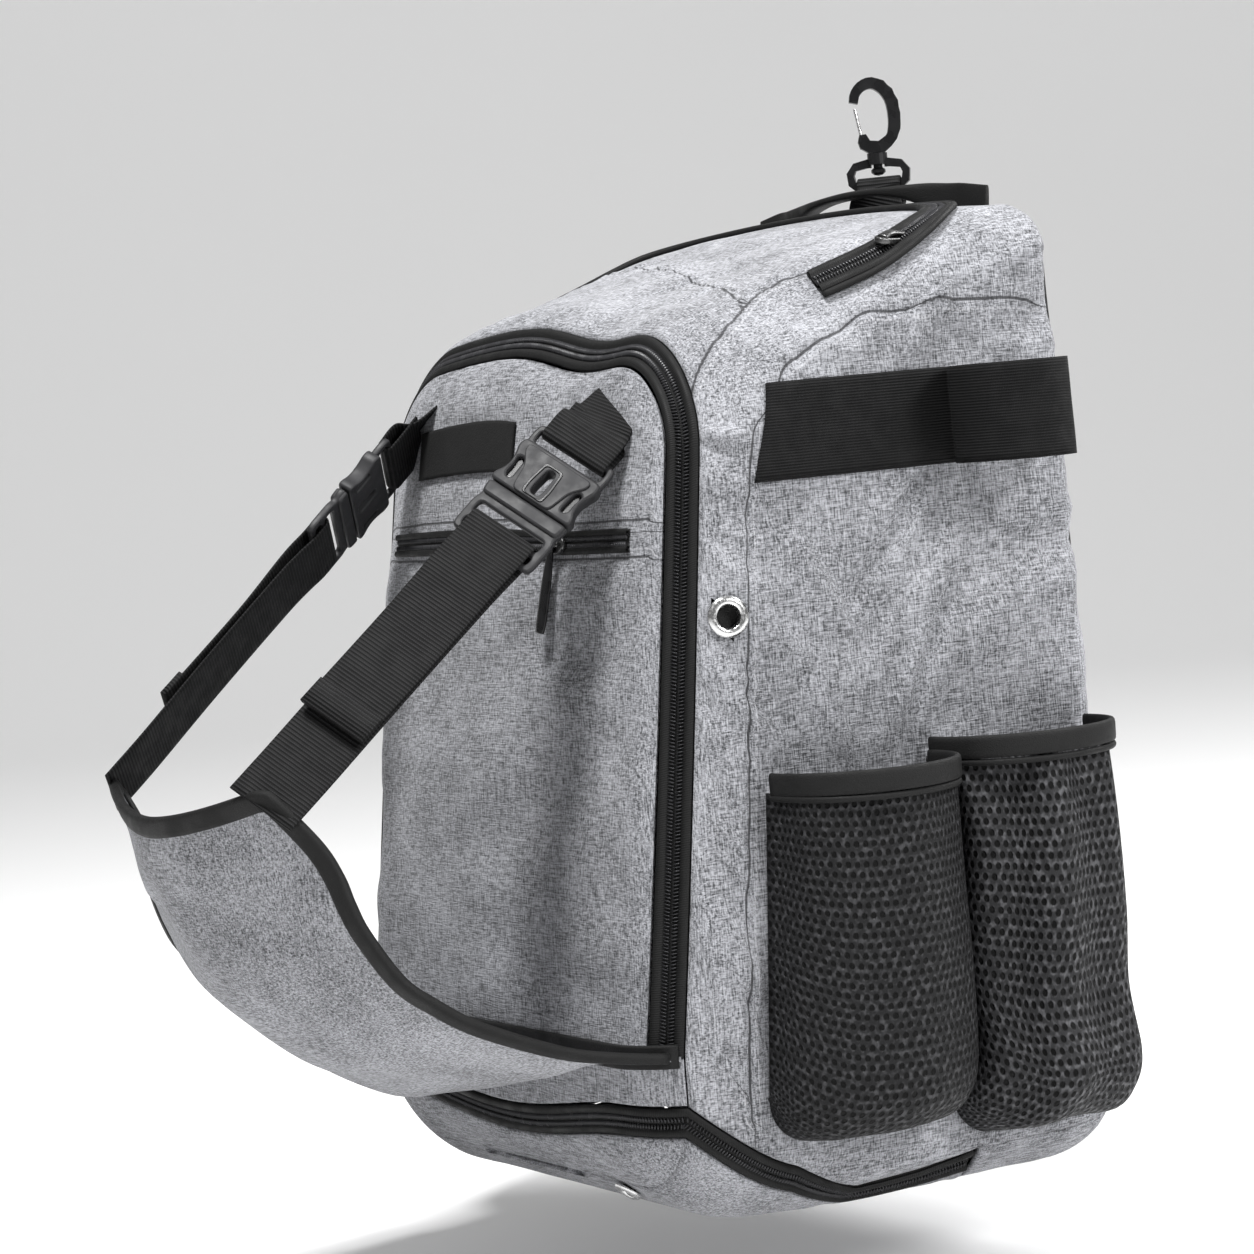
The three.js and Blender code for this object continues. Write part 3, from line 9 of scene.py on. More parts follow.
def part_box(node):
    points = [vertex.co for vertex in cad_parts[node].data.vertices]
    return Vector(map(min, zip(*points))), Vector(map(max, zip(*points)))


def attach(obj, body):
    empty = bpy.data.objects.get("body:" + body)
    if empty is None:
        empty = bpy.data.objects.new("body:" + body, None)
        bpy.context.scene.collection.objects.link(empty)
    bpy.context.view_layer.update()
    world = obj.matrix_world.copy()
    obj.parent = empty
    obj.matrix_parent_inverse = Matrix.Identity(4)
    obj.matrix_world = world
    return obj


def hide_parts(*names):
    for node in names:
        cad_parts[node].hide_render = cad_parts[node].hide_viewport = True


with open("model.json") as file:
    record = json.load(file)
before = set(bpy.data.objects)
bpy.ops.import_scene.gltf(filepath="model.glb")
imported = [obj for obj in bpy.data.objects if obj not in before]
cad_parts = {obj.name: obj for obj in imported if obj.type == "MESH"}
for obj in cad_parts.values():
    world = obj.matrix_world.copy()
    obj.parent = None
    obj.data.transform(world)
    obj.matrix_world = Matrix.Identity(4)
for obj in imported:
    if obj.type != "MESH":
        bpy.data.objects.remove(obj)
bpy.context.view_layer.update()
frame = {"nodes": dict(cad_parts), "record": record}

# The bag's own frame, in millimetres: y = 0 is the back wall, the front faces -y, and z = 0 is the
# lowest line. ORIGIN is where that frame's origin lies in the row frame, in metres.
SHELL_LOW, SHELL_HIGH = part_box("body_shell")
ORIGIN = np.array([0.0, SHELL_HIGH.y, SHELL_LOW.z])
MM = 0.001

# The sizes that the solids are made with, in millimetres
BACK_HEIGHT = 487
FRONT_HEIGHT = 450
BASE_DEPTH = 268
TOP_DEPTH = 216
HEM_HEIGHT = 90
HALF_WIDTH = 162
WALL = 2.5
SEAM_GAP = 0.6
FIT = 0.3
FRONT_ROUND = 40
BACK_ROUND = 10
TOE_ROUND = 64
HEEL_ROUND = 28
FRONT_SHOULDER = 70
BACK_SHOULDER = 26
FRONT_CORNER = 62
BACK_CORNER = 34
FRONT_CROWN = 16
BACK_CROWN = 7
SOFT_BAND = 60
WAIST = 0.03
SAG_DEPTH = 9
SAG_SIDE = 60
SAG_WIDTH = 45
FRONT_BULGE = 9
ZIP_INNER = 4.3
ZIP_OUTER = 15.5
SHOE_TAPE = 16
SHOE_DIP = 11
SHOE_BACK = 90
MEAN_DEPTH = (BASE_DEPTH + TOP_DEPTH) / 2
LEAN = (BASE_DEPTH - TOP_DEPTH) / (FRONT_HEIGHT - HEM_HEIGHT)
INSIDE = np.array([0, -BASE_DEPTH / 2, BACK_HEIGHT / 2])
K_INNER = ZIP_INNER / MEAN_DEPTH
K_OUTER = ZIP_OUTER / MEAN_DEPTH
K_GAP = SEAM_GAP / 2 / MEAN_DEPTH
K_SHOE = 1 - SHOE_BACK / BASE_DEPTH


def lerp(a, b, t):
    return a + (b - a) * t


def ease(a, b, t):
    s = np.clip(t, 0, 1)
    return a + (b - a) * s * s * (3 - 2 * s)


def unit(v):
    """A vector, or each row of vectors, at length 1."""
    return v / np.linalg.norm(v, axis=-1, keepdims=True)


def run_along(path):
    """The distance along a path at each of its points."""
    return np.concatenate([[0], np.cumsum(np.linalg.norm(np.diff(path, axis=0), axis=-1))])


def round_in(d, r):
    """How far a rounded edge of radius r has drawn in at depth d behind its face."""
    left = np.maximum(0, r - d)
    return r - np.sqrt(np.maximum(0, r * r - left * left))


def outline(k):
    """The body's outline in the plane that lies the share k of the way from the front to the back."""
    d = k * MEAN_DEPTH
    side = round_in(d, FRONT_ROUND) + round_in(MEAN_DEPTH - d, BACK_ROUND)
    bottom = round_in(d, TOE_ROUND) + round_in(MEAN_DEPTH - d, HEEL_ROUND)
    return {
        "half": HALF_WIDTH - side,
        "top": ease(FRONT_HEIGHT, BACK_HEIGHT, k / 0.9) - side,
        "bottom": bottom,
        "shoulder": np.maximum(ease(FRONT_SHOULDER, BACK_SHOULDER, k / 0.95) - side, 6),
        "corner": np.maximum(ease(FRONT_CORNER, BACK_CORNER, k / 0.5) - 0.5 * bottom, 6),
        "crown": ease(FRONT_CROWN, BACK_CROWN, k),
    }


def flat_point(k, mark):
    """A place on the right half of an outline: a mark runs to 1 along the bottom, to 2 round the corner,
    to 3 up the side, to 4 round the shoulder and to 5 along the top."""
    o = outline(k)
    part = np.clip(np.floor(mark), 0, 4)
    t = mark - part
    low = (t - 1) * math.pi / 2
    high = t * math.pi / 2
    half, corner, shoulder = o["half"], o["corner"], o["shoulder"]
    up_from = o["bottom"] + corner
    up_to = o["top"] - shoulder
    choices = [part == 0, part == 1, part == 2, part == 3]
    x = np.select(choices, [
        t * (half - corner), half - corner + corner * np.cos(low), half + 0 * t,
        half - shoulder + shoulder * np.cos(high),
    ], (1 - t) * (half - shoulder))
    z = np.select(choices, [
        o["bottom"] + 0 * t, up_from + corner * np.sin(low), lerp(up_from, up_to, t),
        up_to + shoulder * np.sin(high),
    ], o["top"] + 0 * t)
    return x, z


def front_y(z):
    return -BASE_DEPTH + LEAN * np.maximum(0, z - HEM_HEIGHT)


def sink(k, x, z):
    """How far the soft top has sunk: the crown falls to the sides, and the front edge sags on one side."""
    o = outline(k)
    up = np.clip((z - (o["top"] - o["shoulder"] - SOFT_BAND)) / (o["shoulder"] + SOFT_BAND), 0, 1)
    sag = SAG_DEPTH * np.exp(-(((x - SAG_SIDE) / SAG_WIDTH) ** 2)) * ease(1, 0, k / 0.6)
    return (o["crown"] * (x / HALF_WIDTH) ** 2 + sag) * up


def place(k, x, z):
    height = z - sink(k, x, z)
    pull = 1 - WAIST * ((height - 0.43 * BACK_HEIGHT) / (BACK_HEIGHT / 2)) ** 2
    return np.stack(np.broadcast_arrays(x * pull, front_y(height) * (1 - k), height), axis=-1)


def within(o, x, z):
    side = np.abs(x)
    sx = side - (o["half"] - o["shoulder"])
    sz = z - (o["top"] - o["shoulder"])
    cx = side - (o["half"] - o["corner"])
    cz = o["bottom"] + o["corner"] - z
    inside = (side <= o["half"]) & (z <= o["top"]) & (z >= o["bottom"])
    inside &= ~((sx > 0) & (sz > 0) & (sx**2 + sz**2 > o["shoulder"] ** 2))
    return inside & ~((cx > 0) & (cz > 0) & (cx**2 + cz**2 > o["corner"] ** 2))


def front_point(x, z):
    """The front surface at a flat place x, z: the first outline that holds it, with the soft bulge."""
    x, z = np.broadcast_arrays(np.asarray(x, float), np.asarray(z, float))
    low = np.zeros(x.shape)
    high = np.where(within(outline(0.0), x, z), 0.0, 0.4)
    for _ in range(22):
        middle = (low + high) / 2
        held = within(outline(middle), x, z)
        high = np.where(held, middle, high)
        low = np.where(held, low, middle)
    p = place(high, x, z)
    across = np.maximum(0, 1 - (x / (HALF_WIDTH - FRONT_ROUND / 2)) ** 2)
    level = (z - HEM_HEIGHT) / (FRONT_HEIGHT - FRONT_ROUND / 2 - HEM_HEIGHT)
    along = np.clip(level, 0, 1) * np.clip(1 - level, 0, 1) * 4
    p[..., 1] -= FRONT_BULGE * across * np.sqrt(along)
    return p


def side_x(y, z):
    """The right side's surface at y, z."""
    k = np.clip(1 - y / front_y(z), 0, 1)
    o = outline(k)
    x = o["half"] + 0 * z
    for _ in range(4):
        flat = z + sink(k, x, z)
        rise = flat - (o["top"] - o["shoulder"])
        drop = o["bottom"] + o["corner"] - flat
        up = o["half"] - o["shoulder"] + np.sqrt(np.maximum(0, o["shoulder"] ** 2 - rise**2))
        down = o["half"] - o["corner"] + np.sqrt(np.maximum(0, o["corner"] ** 2 - drop**2))
        x = np.where(rise > 0, up, np.where(drop > 0, down, o["half"]))
    return place(k, x, flat)[..., 0]


def top_z(x, y):
    z = BACK_HEIGHT + 0 * x
    for _ in range(5):
        k = np.clip(1 - y / front_y(z), 0, 1)
        o = outline(k)
        out = np.abs(x) - (o["half"] - o["shoulder"])
        high = o["top"] - o["shoulder"] + np.sqrt(np.maximum(0, o["shoulder"] ** 2 - out**2))
        z = place(k, x, np.where(out > 0, high, o["top"]))[..., 2]
    return z


# Fields over a surface that is given as a grid of points


def normals_of(grid, inside=INSIDE):
    n = np.cross(np.gradient(grid, axis=0), np.gradient(grid, axis=1))
    n /= np.maximum(np.linalg.norm(n, axis=-1, keepdims=True), 1e-9)
    if np.sum(n * (grid - inside)) < 0:
        n = -n
    return n


def lengths(grid):
    """Distances along a grid's columns and rows, in millimetres, as two fields."""
    u = np.linalg.norm(np.diff(grid, axis=1), axis=-1).mean(0)
    v = np.linalg.norm(np.diff(grid, axis=0), axis=-1).mean(1)
    u = np.concatenate([[0], np.cumsum(u)])
    v = np.concatenate([[0], np.cumsum(v)])
    return np.meshgrid(u - u[-1] / 2, v)


def wander(a, b, seed=0.0):
    """Smooth noise from -1 to 1 over two fields."""
    flat = [noise.noise(Vector((x, y, seed))) for x, y in zip(a.ravel(), b.ravel())]
    return np.array(flat).reshape(a.shape)


def smooth_path(points, count):
    """count points on a smooth curve through the given ones, evenly spaced by share of the way."""
    p = np.asarray(points, float)
    p = np.vstack([2 * p[0] - p[1], p, 2 * p[-1] - p[-2]])
    t = np.linspace(0, len(points) - 1, count)
    i = np.minimum(t.astype(int), len(points) - 2)
    s = (t - i)[:, None]
    a, b, c, d = p[i], p[i + 1], p[i + 2], p[i + 3]
    return 0.5 * (2 * b + (c - a) * s + (2 * a - 5 * b + 4 * c - d) * s**2 + (3 * b - a - 3 * c + d) * s**3)


def seam_field(grid, u, v, seams):
    """Signed distance to the nearest seam, and the distance along it. A seam is a list of points near
    the surface."""
    flat = grid.reshape(-1, 3)
    uv = np.stack([u.ravel(), v.ravel()], -1)
    best = np.full(len(flat), 99.0)
    along = np.zeros(len(flat))
    for seam in seams:
        near = [uv[np.argmin(np.sum((flat - np.array(w)) ** 2, -1))] for w in seam]
        path = smooth_path(near, 12 * len(seam)) if len(seam) > 2 else np.array(near)
        run = 0.0
        for a, b in zip(path[:-1], path[1:]):
            d = b - a
            length = max(float(np.hypot(*d)), 1e-6)
            t = np.clip(((uv - a) @ d) / length**2, 0, 1)
            gap = uv - (a + t[:, None] * d)
            far = np.hypot(gap[:, 0], gap[:, 1])
            side = np.sign(d[0] * gap[:, 1] - d[1] * gap[:, 0] + 1e-9)
            closer = far < np.abs(best)
            best = np.where(closer, far * side, best)
            along = np.where(closer, run + t * length, along)
            run += length
    return best.reshape(u.shape), along.reshape(u.shape)


# Meshes


def to_row(points):
    return np.asarray(points, float).reshape(-1, 3) * MM + ORIGIN


def piece(name, points, faces, material, nodes=(), fields=None, uv=None):
    """A smooth mesh from points in millimetres in the bag's frame, with its fields for the material."""
    mesh = bpy.data.meshes.new(name)
    mesh.from_pydata(to_row(points).tolist(), [], [tuple(f) for f in faces])
    mesh.validate()
    mesh.shade_smooth()
    for key, values in (fields or {}).items():
        mesh.attributes.new(key, "FLOAT", "POINT").data.foreach_set("value", np.ravel(values).astype(float))
    if uv is not None:
        layer = mesh.uv_layers.new(name="weave")
        index = np.zeros(len(mesh.loops), int)
        mesh.loops.foreach_get("vertex_index", index)
        layer.data.foreach_set("uv", np.asarray(uv, float).reshape(-1, 2)[index].ravel())
    mesh.materials.append(material)
    obj = bpy.data.objects.new(name, mesh)
    bpy.context.scene.collection.objects.link(obj)
    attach(obj, "bag")
    if nodes:
        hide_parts(*nodes)
    return obj


def grid_faces(n, m, wrap=False):
    ids = np.arange(n * m).reshape(n, m)
    if wrap:
        ids = np.hstack([ids, ids[:, :1]])
    return np.stack([ids[:-1, :-1], ids[:-1, 1:], ids[1:, 1:], ids[1:, :-1]], -1).reshape(-1, 4)


def cloth(name, grid, material, nodes=(), thick=WALL, relief=None, seams=(), inside=INSIDE, hole=None):
    """A cloth wall over a grid: relief moves it along its normal, and seams are grooves in its finish."""
    normals = normals_of(grid, inside)
    u, v = lengths(grid)
    distance, along = seam_field(grid, u, v, seams) if len(seams) else (np.full(u.shape, 99.0), 0 * u)
    height = 0 * u if relief is None else relief(u, v, distance, along, grid)
    skin = grid + normals * height[..., None]
    inner = skin - normals * thick
    fields = {"seam": distance, "run": along, "along": u, "across": v}
    return between(name, skin, inner, normals, material, nodes, fields, hole)


def between(name, skin, inner, normals, material, nodes, fields, hole=None):
    """A closed wall between two grids of points, the skin outside: hole picks the faces that are left out."""
    n, m = skin.shape[:2]
    faces = grid_faces(n, m)
    a, b, c = skin[0, 0], skin[0, 1], skin[1, 1]
    if np.dot(np.cross(b - a, c - a), normals[0, 0]) < 0:
        faces = faces[:, ::-1]
    rim = np.concatenate([
        np.arange(m), np.arange(1, n) * m + m - 1, (n - 1) * m + np.arange(m - 2, -1, -1),
        np.arange(n - 2, 0, -1) * m,
    ])
    after = np.roll(rim, -1)
    edge = np.stack([rim, after, after + n * m, rim + n * m], -1)
    first = faces[0]
    forward = any((first[i], first[(i + 1) % 4]) == (rim[0], after[0]) for i in range(4))
    edge = edge[:, ::-1] if forward else edge
    points = np.concatenate([skin.reshape(-1, 3), inner.reshape(-1, 3)])
    if hole is not None:
        faces = faces[~hole(skin.reshape(-1, 3)[faces].mean(1))]
    every = np.concatenate([faces, faces[:, ::-1] + n * m, edge])
    uv = np.tile(np.stack([fields["along"].ravel(), fields["across"].ravel()], -1), (2, 1))
    doubled = {key: np.tile(values.ravel(), 2) for key, values in fields.items()}
    return piece(name, points, every, material, nodes, doubled, uv)


# Materials


class Finish:
    """A procedural material: each method adds nodes and returns the socket that holds their result."""

    def __init__(self, name, roughness=0.85, metallic=0.0, sheen=0.0, shine=0.14):
        self.material = bpy.data.materials.new(name)
        self.material.use_nodes = True
        self.tree = self.material.node_tree
        self.surface = self.tree.nodes["Principled BSDF"]
        self.surface.inputs["Roughness"].default_value = roughness
        self.surface.inputs["Metallic"].default_value = metallic
        self.surface.inputs["Sheen Weight"].default_value = sheen
        self.surface.inputs["Specular IOR Level"].default_value = shine

    def node(self, kind, inputs=(), **settings):
        node = self.tree.nodes.new(kind)
        for key, value in settings.items():
            setattr(node, key, value)
        for key, value in dict(inputs).items():
            self.feed(node.inputs[key], value)
        return node

    def feed(self, socket, value):
        if isinstance(value, bpy.types.NodeSocket):
            self.tree.links.new(value, socket)
        else:
            socket.default_value = value

    def math(self, operation, a, b=0.0, c=0.0):
        return self.node("ShaderNodeMath", {0: a, 1: b, 2: c}, operation=operation).outputs[0]

    def field(self, name):
        return self.node("ShaderNodeAttribute", attribute_name=name).outputs["Fac"]

    def weave(self, across=1.0, along=1.0):
        """The cloth's own coordinates in millimetres, divided by a length across and a length along."""
        uv = self.node("ShaderNodeUVMap", uv_map="weave").outputs[0]
        scale = (1 / across, 1 / along, 1)
        return self.node("ShaderNodeVectorMath", {0: uv, 1: scale}, operation="MULTIPLY").outputs[0]

    def place(self, size):
        """Object coordinates in steps of size millimetres."""
        at = self.node("ShaderNodeTexCoord").outputs["Object"]
        scale = (1 / (size * MM),) * 3
        return self.node("ShaderNodeVectorMath", {0: at, 1: scale}, operation="MULTIPLY").outputs[0]

    def noise(self, vector, detail=2.0, scale=1.0, rough=0.5):
        inputs = {"Vector": vector, "Scale": scale, "Detail": detail, "Roughness": rough}
        return self.node("ShaderNodeTexNoise", inputs).outputs["Fac"]

    def span(self, value, low, high, to_low=0.0, to_high=1.0):
        inputs = {"Value": value, "From Min": low, "From Max": high, "To Min": to_low, "To Max": to_high}
        return self.node("ShaderNodeMapRange", inputs, interpolation_type="SMOOTHSTEP").outputs[0]

    def blend(self, share, a, b):
        node = self.node("ShaderNodeMix", data_type="RGBA")
        self.feed(node.inputs["Factor"], share)
        self.feed(node.inputs[6], a if isinstance(a, bpy.types.NodeSocket) else (*a, 1))
        self.feed(node.inputs[7], b if isinstance(b, bpy.types.NodeSocket) else (*b, 1))
        return node.outputs[2]

    def wave(self, field, length):
        """A sine from 0 to 1 along a field in millimetres."""
        turn = self.math("MULTIPLY", field, 2 * math.pi / length)
        return self.math("MULTIPLY_ADD", self.math("SINE", turn), 0.5, 0.5)

    def colour(self, socket):
        self.feed(self.surface.inputs["Base Color"], socket)

    def rough(self, socket):
        self.feed(self.surface.inputs["Roughness"], socket)

    def relief(self, height, depth):
        """Bumps of a height field from 0 to 1 that is depth millimetres tall."""
        bump = self.node("ShaderNodeBump", {"Height": height, "Distance": depth * MM, "Strength": 1.0})
        self.feed(self.surface.inputs["Normal"], bump.outputs[0])


SEAM_HALF = 0.9
STITCH_OFF = 4.0
STITCH_PITCH = 3.4
THREAD = 0.65
SLUB = 8.5
HEATHER_DARK = (0.03, 0.031, 0.034)
HEATHER_LIGHT = (0.38, 0.385, 0.41)


def seam_marks(f):
    """The groove of a seam and the dashes of the stitch row beside it, each from 0 to 1."""
    distance = f.field("seam")
    groove = f.span(f.math("ABSOLUTE", distance), SEAM_HALF * 0.3, SEAM_HALF, 1.0, 0.0)
    off = f.math("ABSOLUTE", f.math("SUBTRACT", distance, STITCH_OFF))
    row = f.span(off, 0.25, 0.6, 1.0, 0.0)
    dash = f.span(f.wave(f.field("run"), STITCH_PITCH), 0.25, 0.4)
    return groove, f.math("MULTIPLY", row, dash)


def threads_along(f, axis):
    """Slubs that run along one axis of the row frame."""
    steps = [THREAD, THREAD, THREAD]
    steps[axis] = SLUB
    scale = tuple(1 / (step * MM) for step in steps)
    at = f.node("ShaderNodeTexCoord").outputs["Object"]
    vector = f.node("ShaderNodeVectorMath", {0: at, 1: scale}, operation="MULTIPLY").outputs[0]
    return f.noise(vector, detail=2.5)


def heather():
    """Two families of slubbed threads: those along the axis that a face looks along fade out on it."""
    f = Finish("heather_cloth", roughness=0.92, sheen=0.15)
    facing = f.node("ShaderNodeSeparateXYZ", {0: f.node("ShaderNodeTexCoord").outputs["Normal"]})
    total, weights = 0.0, 0.0
    for axis in range(3):
        across = f.math("SUBTRACT", 1.0, f.math("ABSOLUTE", facing.outputs[axis]))
        weight = f.span(across, 0.1, 0.6)
        total = f.math("ADD", total, f.math("MULTIPLY", threads_along(f, axis), weight))
        weights = f.math("ADD", weights, weight)
    threads = f.math("DIVIDE", total, weights)
    speck = f.noise(f.place(1.3), detail=1.0)
    patch = f.noise(f.place(30), detail=2.0)
    tone = f.math("MULTIPLY_ADD", speck, 0.2, f.math("MULTIPLY", threads, 0.8))
    tone = f.math("ADD", tone, f.math("MULTIPLY_ADD", patch, 0.14, -0.07))
    tone = f.span(tone, 0.33, 0.67)
    cloth_colour = f.blend(tone, HEATHER_DARK, HEATHER_LIGHT)
    groove, stitch = seam_marks(f)
    # The seam groove is painted near-black: painted shade in the groove, on top of the bump that sinks it.
    cloth_colour = f.blend(f.math("MULTIPLY", groove, 0.85), cloth_colour, (0.02, 0.02, 0.022))
    f.colour(f.blend(f.math("MULTIPLY", stitch, 0.5), cloth_colour, (0.42, 0.42, 0.44)))
    height = f.math("SUBTRACT", threads, f.math("MULTIPLY", groove, 0.5))
    f.relief(f.math("ADD", height, f.math("MULTIPLY", stitch, 0.1)), 0.7)
    return f.material


def ribbed(name, pitch, base=0.004, light=0.022, rough=0.7, depth=0.35, crosswise=True):
    """Woven webbing or elastic: ribs with a fine thread over them."""
    f = Finish(name, roughness=rough)
    rib = f.wave(f.field("along" if crosswise else "across"), pitch)
    thread = f.wave(f.field("across" if crosswise else "along"), pitch * 0.6)
    worn = f.noise(f.place(9), detail=3.0)
    height = f.math("MULTIPLY", rib, f.math("MULTIPLY_ADD", thread, 0.35, 0.65))
    share = f.math("MULTIPLY", f.span(height, 0.3, 1.0), f.math("MULTIPLY_ADD", worn, 0.8, 0.4))
    f.colour(f.blend(share, (base,) * 3, (light, light, light * 1.05)))
    f.rough(f.span(worn, 0.3, 0.7, rough - 0.1, rough + 0.08))
    f.relief(height, depth)
    return f.material


def tape_cloth(name="zipper_tape", base=0.004, light=0.012, rough=0.6):
    f = Finish(name, roughness=rough)
    fine = f.wave(f.field("along"), 1.1)
    worn = f.noise(f.place(12), detail=3.0)
    share = f.math("MULTIPLY_ADD", fine, 0.5, f.math("MULTIPLY", worn, 0.5))
    f.colour(f.blend(share, (base,) * 3, (light,) * 3))
    f.rough(f.span(worn, 0.3, 0.7, rough - 0.1, rough + 0.15))
    f.relief(f.math("MULTIPLY_ADD", fine, 0.4, f.math("MULTIPLY", worn, 0.8)), 0.25)
    return f.material


HOLE_SHAPE = 0.72


def net(name, wide, tall, base=0.0005, yarn_and_glint=0.045):
    """A net with staggered oval holes, wide and tall millimetres apart. The holes are painted near-black as
    painted shade, and the yarn is lighter in patches as painted glints.
    """
    f = Finish(name, roughness=0.6)
    uv = f.weave(wide, tall)
    parts = f.node("ShaderNodeSeparateXYZ", {0: uv})
    row = f.math("FLOOR", parts.outputs[1])
    shift = f.math("MULTIPLY", f.math("MODULO", f.math("ABSOLUTE", row), 2.0), 0.5)
    x = f.math("SUBTRACT", f.math("FRACT", f.math("ADD", parts.outputs[0], shift)), 0.5)
    y = f.math("SUBTRACT", f.math("FRACT", parts.outputs[1]), 0.5)
    tall_share = f.math("MULTIPLY", f.math("MULTIPLY", y, y), HOLE_SHAPE)
    away = f.math("SQRT", f.math("ADD", f.math("MULTIPLY", x, x), tall_share))
    solid = f.span(away, 0.2, 0.36)
    glint = f.noise(f.weave(wide * 0.7, tall * 0.7), detail=1.0)
    fibre = f.noise(f.weave(0.5, 1.6), detail=1.0)
    lit = f.math("MULTIPLY", solid, f.span(glint, 0.45, 0.75, 0.25, 1.0))
    lit = f.math("MULTIPLY", lit, f.math("MULTIPLY_ADD", fibre, 0.8, 0.5))
    # The hole colour is painted shade; the yarn colour, scaled by the glint noise, is a painted highlight.
    f.colour(f.blend(lit, (base,) * 3, (yarn_and_glint, yarn_and_glint, yarn_and_glint * 1.06)))
    f.rough(f.span(glint, 0.3, 0.8, 0.75, 0.42))
    f.relief(f.math("MULTIPLY_ADD", fibre, 0.15, solid), 0.9)
    return f.material


def plain_cloth(name, base=0.004, light=0.014, rough=0.6, thread=0.6):
    f = Finish(name, roughness=rough)
    fine = f.noise(f.place(thread), detail=1.5)
    worn = f.noise(f.place(14), detail=3.0)
    share = f.math("MULTIPLY_ADD", fine, 0.6, f.math("MULTIPLY", worn, 0.5))
    f.colour(f.blend(share, (base,) * 3, (light,) * 3))
    f.rough(f.span(worn, 0.3, 0.7, rough - 0.12, rough + 0.1))
    f.relief(fine, 0.3)
    return f.material


def moulded(name="plastic", base=0.014, light=0.026, rough=0.5):
    f = Finish(name, roughness=rough, shine=0.24)
    grain = f.noise(f.place(0.35), detail=2.0)
    worn = f.noise(f.place(8), detail=3.0)
    f.colour(f.blend(worn, (base, base, base * 1.05), (light, light, light * 1.08)))
    f.rough(f.span(worn, 0.25, 0.75, rough - 0.08, rough + 0.14))
    f.relief(grain, 0.03)
    return f.material


def bright_metal(name="bright_metal", base=0.55, rough=0.2):
    f = Finish(name, roughness=rough, metallic=1.0)
    scuff = f.noise(f.place(1.2), detail=4.0)
    f.colour(f.blend(scuff, (base * 0.82,) * 3, (base * 1.1,) * 3))
    f.rough(f.span(scuff, 0.3, 0.75, rough - 0.06, rough + 0.2))
    f.relief(scuff, 0.02)
    return f.material


HEATHER = heather()
WEBBING = ribbed("webbing", 1.9)
ELASTIC = ribbed("elastic", 1.4, base=0.003, light=0.012, rough=0.85, depth=0.3, crosswise=False)
TAPE = tape_cloth()
COIL = moulded("zipper_coil", base=0.02, light=0.04, rough=0.2)
NET = net("pocket_net", 4.5, 4.6)
AIR_NET = net("air_net", 3.4, 4.0, yarn_and_glint=0.03)
HANGING_NET = net("bat_pocket_net", 4.2, 5.4, yarn_and_glint=0.085)
BLACK = plain_cloth("black_cloth")
LOOPS = plain_cloth("hook_patch", base=0.004, light=0.02, rough=0.95, thread=0.9)
PLASTIC = moulded()
GLOSS = moulded("dark_plastic", base=0.005, light=0.01, rough=0.27)
GUNMETAL = bright_metal("gunmetal", base=0.1, rough=0.3)
METAL = bright_metal()
SLOTS = {
    # material slot: its finishes, the usual one first
    "heather_cloth": [HEATHER],
    "zipper_tape": [TAPE, COIL],
    "padded_net": [AIR_NET],
    "metal": [METAL, GUNMETAL],
    "black_cloth": [BLACK, LOOPS],
    "webbing": [WEBBING],
    "net": [NET, HANGING_NET],
    "elastic": [ELASTIC],
    "plastic": [PLASTIC, GLOSS],
}

# The soft body

RIGHT_SEAMS = {
    "shoulder": [
        (142, -209, 402), (139, -200, 415), (130, -174, 434), (119, -143, 451), (128, -113, 459),
        (140, -90, 462),
    ],
    "side_panel": [
        (160, -220, 70), (161, -220, 112), (160, -192, 357), (158, -172, 396), (154, -153, 415),
        (154, -117, 431), (157, -99, 433), (158, -60, 434), (158, -12, 434),
    ],
}
CROSS_SEAM = [(126, -164, 443), (60, -146, 456), (0, -127, 462), (-60, -108, 466), (-122, -90, 468)]
BODY_SEAMS = [
    *RIGHT_SEAMS.values(),
    *[[(-x, y, z) for x, y, z in seam] for seam in RIGHT_SEAMS.values()],
    CROSS_SEAM,
]


def pucker(distance, along):
    """Short folds that run away from a seam."""
    return np.exp(-np.abs(distance) / 16) * wander(along / 8, distance / 60, 3.0)


def folds(u, v, long=70.0, short=17.0, seed=7.0):
    """Soft creases that are longer one way than the other."""
    bend = 14 * wander(u / 60, v / 60, seed + 5)
    wave = wander((u + bend) / long, (v + bend) / short, seed)
    crease = 0.5 - 2.2 * np.abs(wander((u - bend) / (1.4 * long), (v + 2 * bend) / (1.6 * short), seed + 2))
    share = np.clip(0.5 + 1.4 * wander(u / 70, v / 70, seed + 9), 0, 1)
    return 0.6 * wave + 0.6 * np.clip(crease, -0.5, 0.5) * share


def slack(depth, seed):
    """A relief of soft folds that end flat at the upper edge."""
    def relief(u, v, distance, along, grid):
        return depth * folds(u, v, seed=seed) * np.clip((v.max() - v) / 6, 0, 1)
    return relief


def calm(grid, zones, soft=9.0):
    """From 0 inside the zones, boxes of (centre, half sizes) on the surface, to 1 away from them."""
    mask = np.ones(grid.shape[:-1])
    for centre, half in zones:
        out = np.max(np.abs(grid - np.array(centre)) - np.array(half), -1)
        mask *= np.clip(out / soft, 0, 1)
    return mask


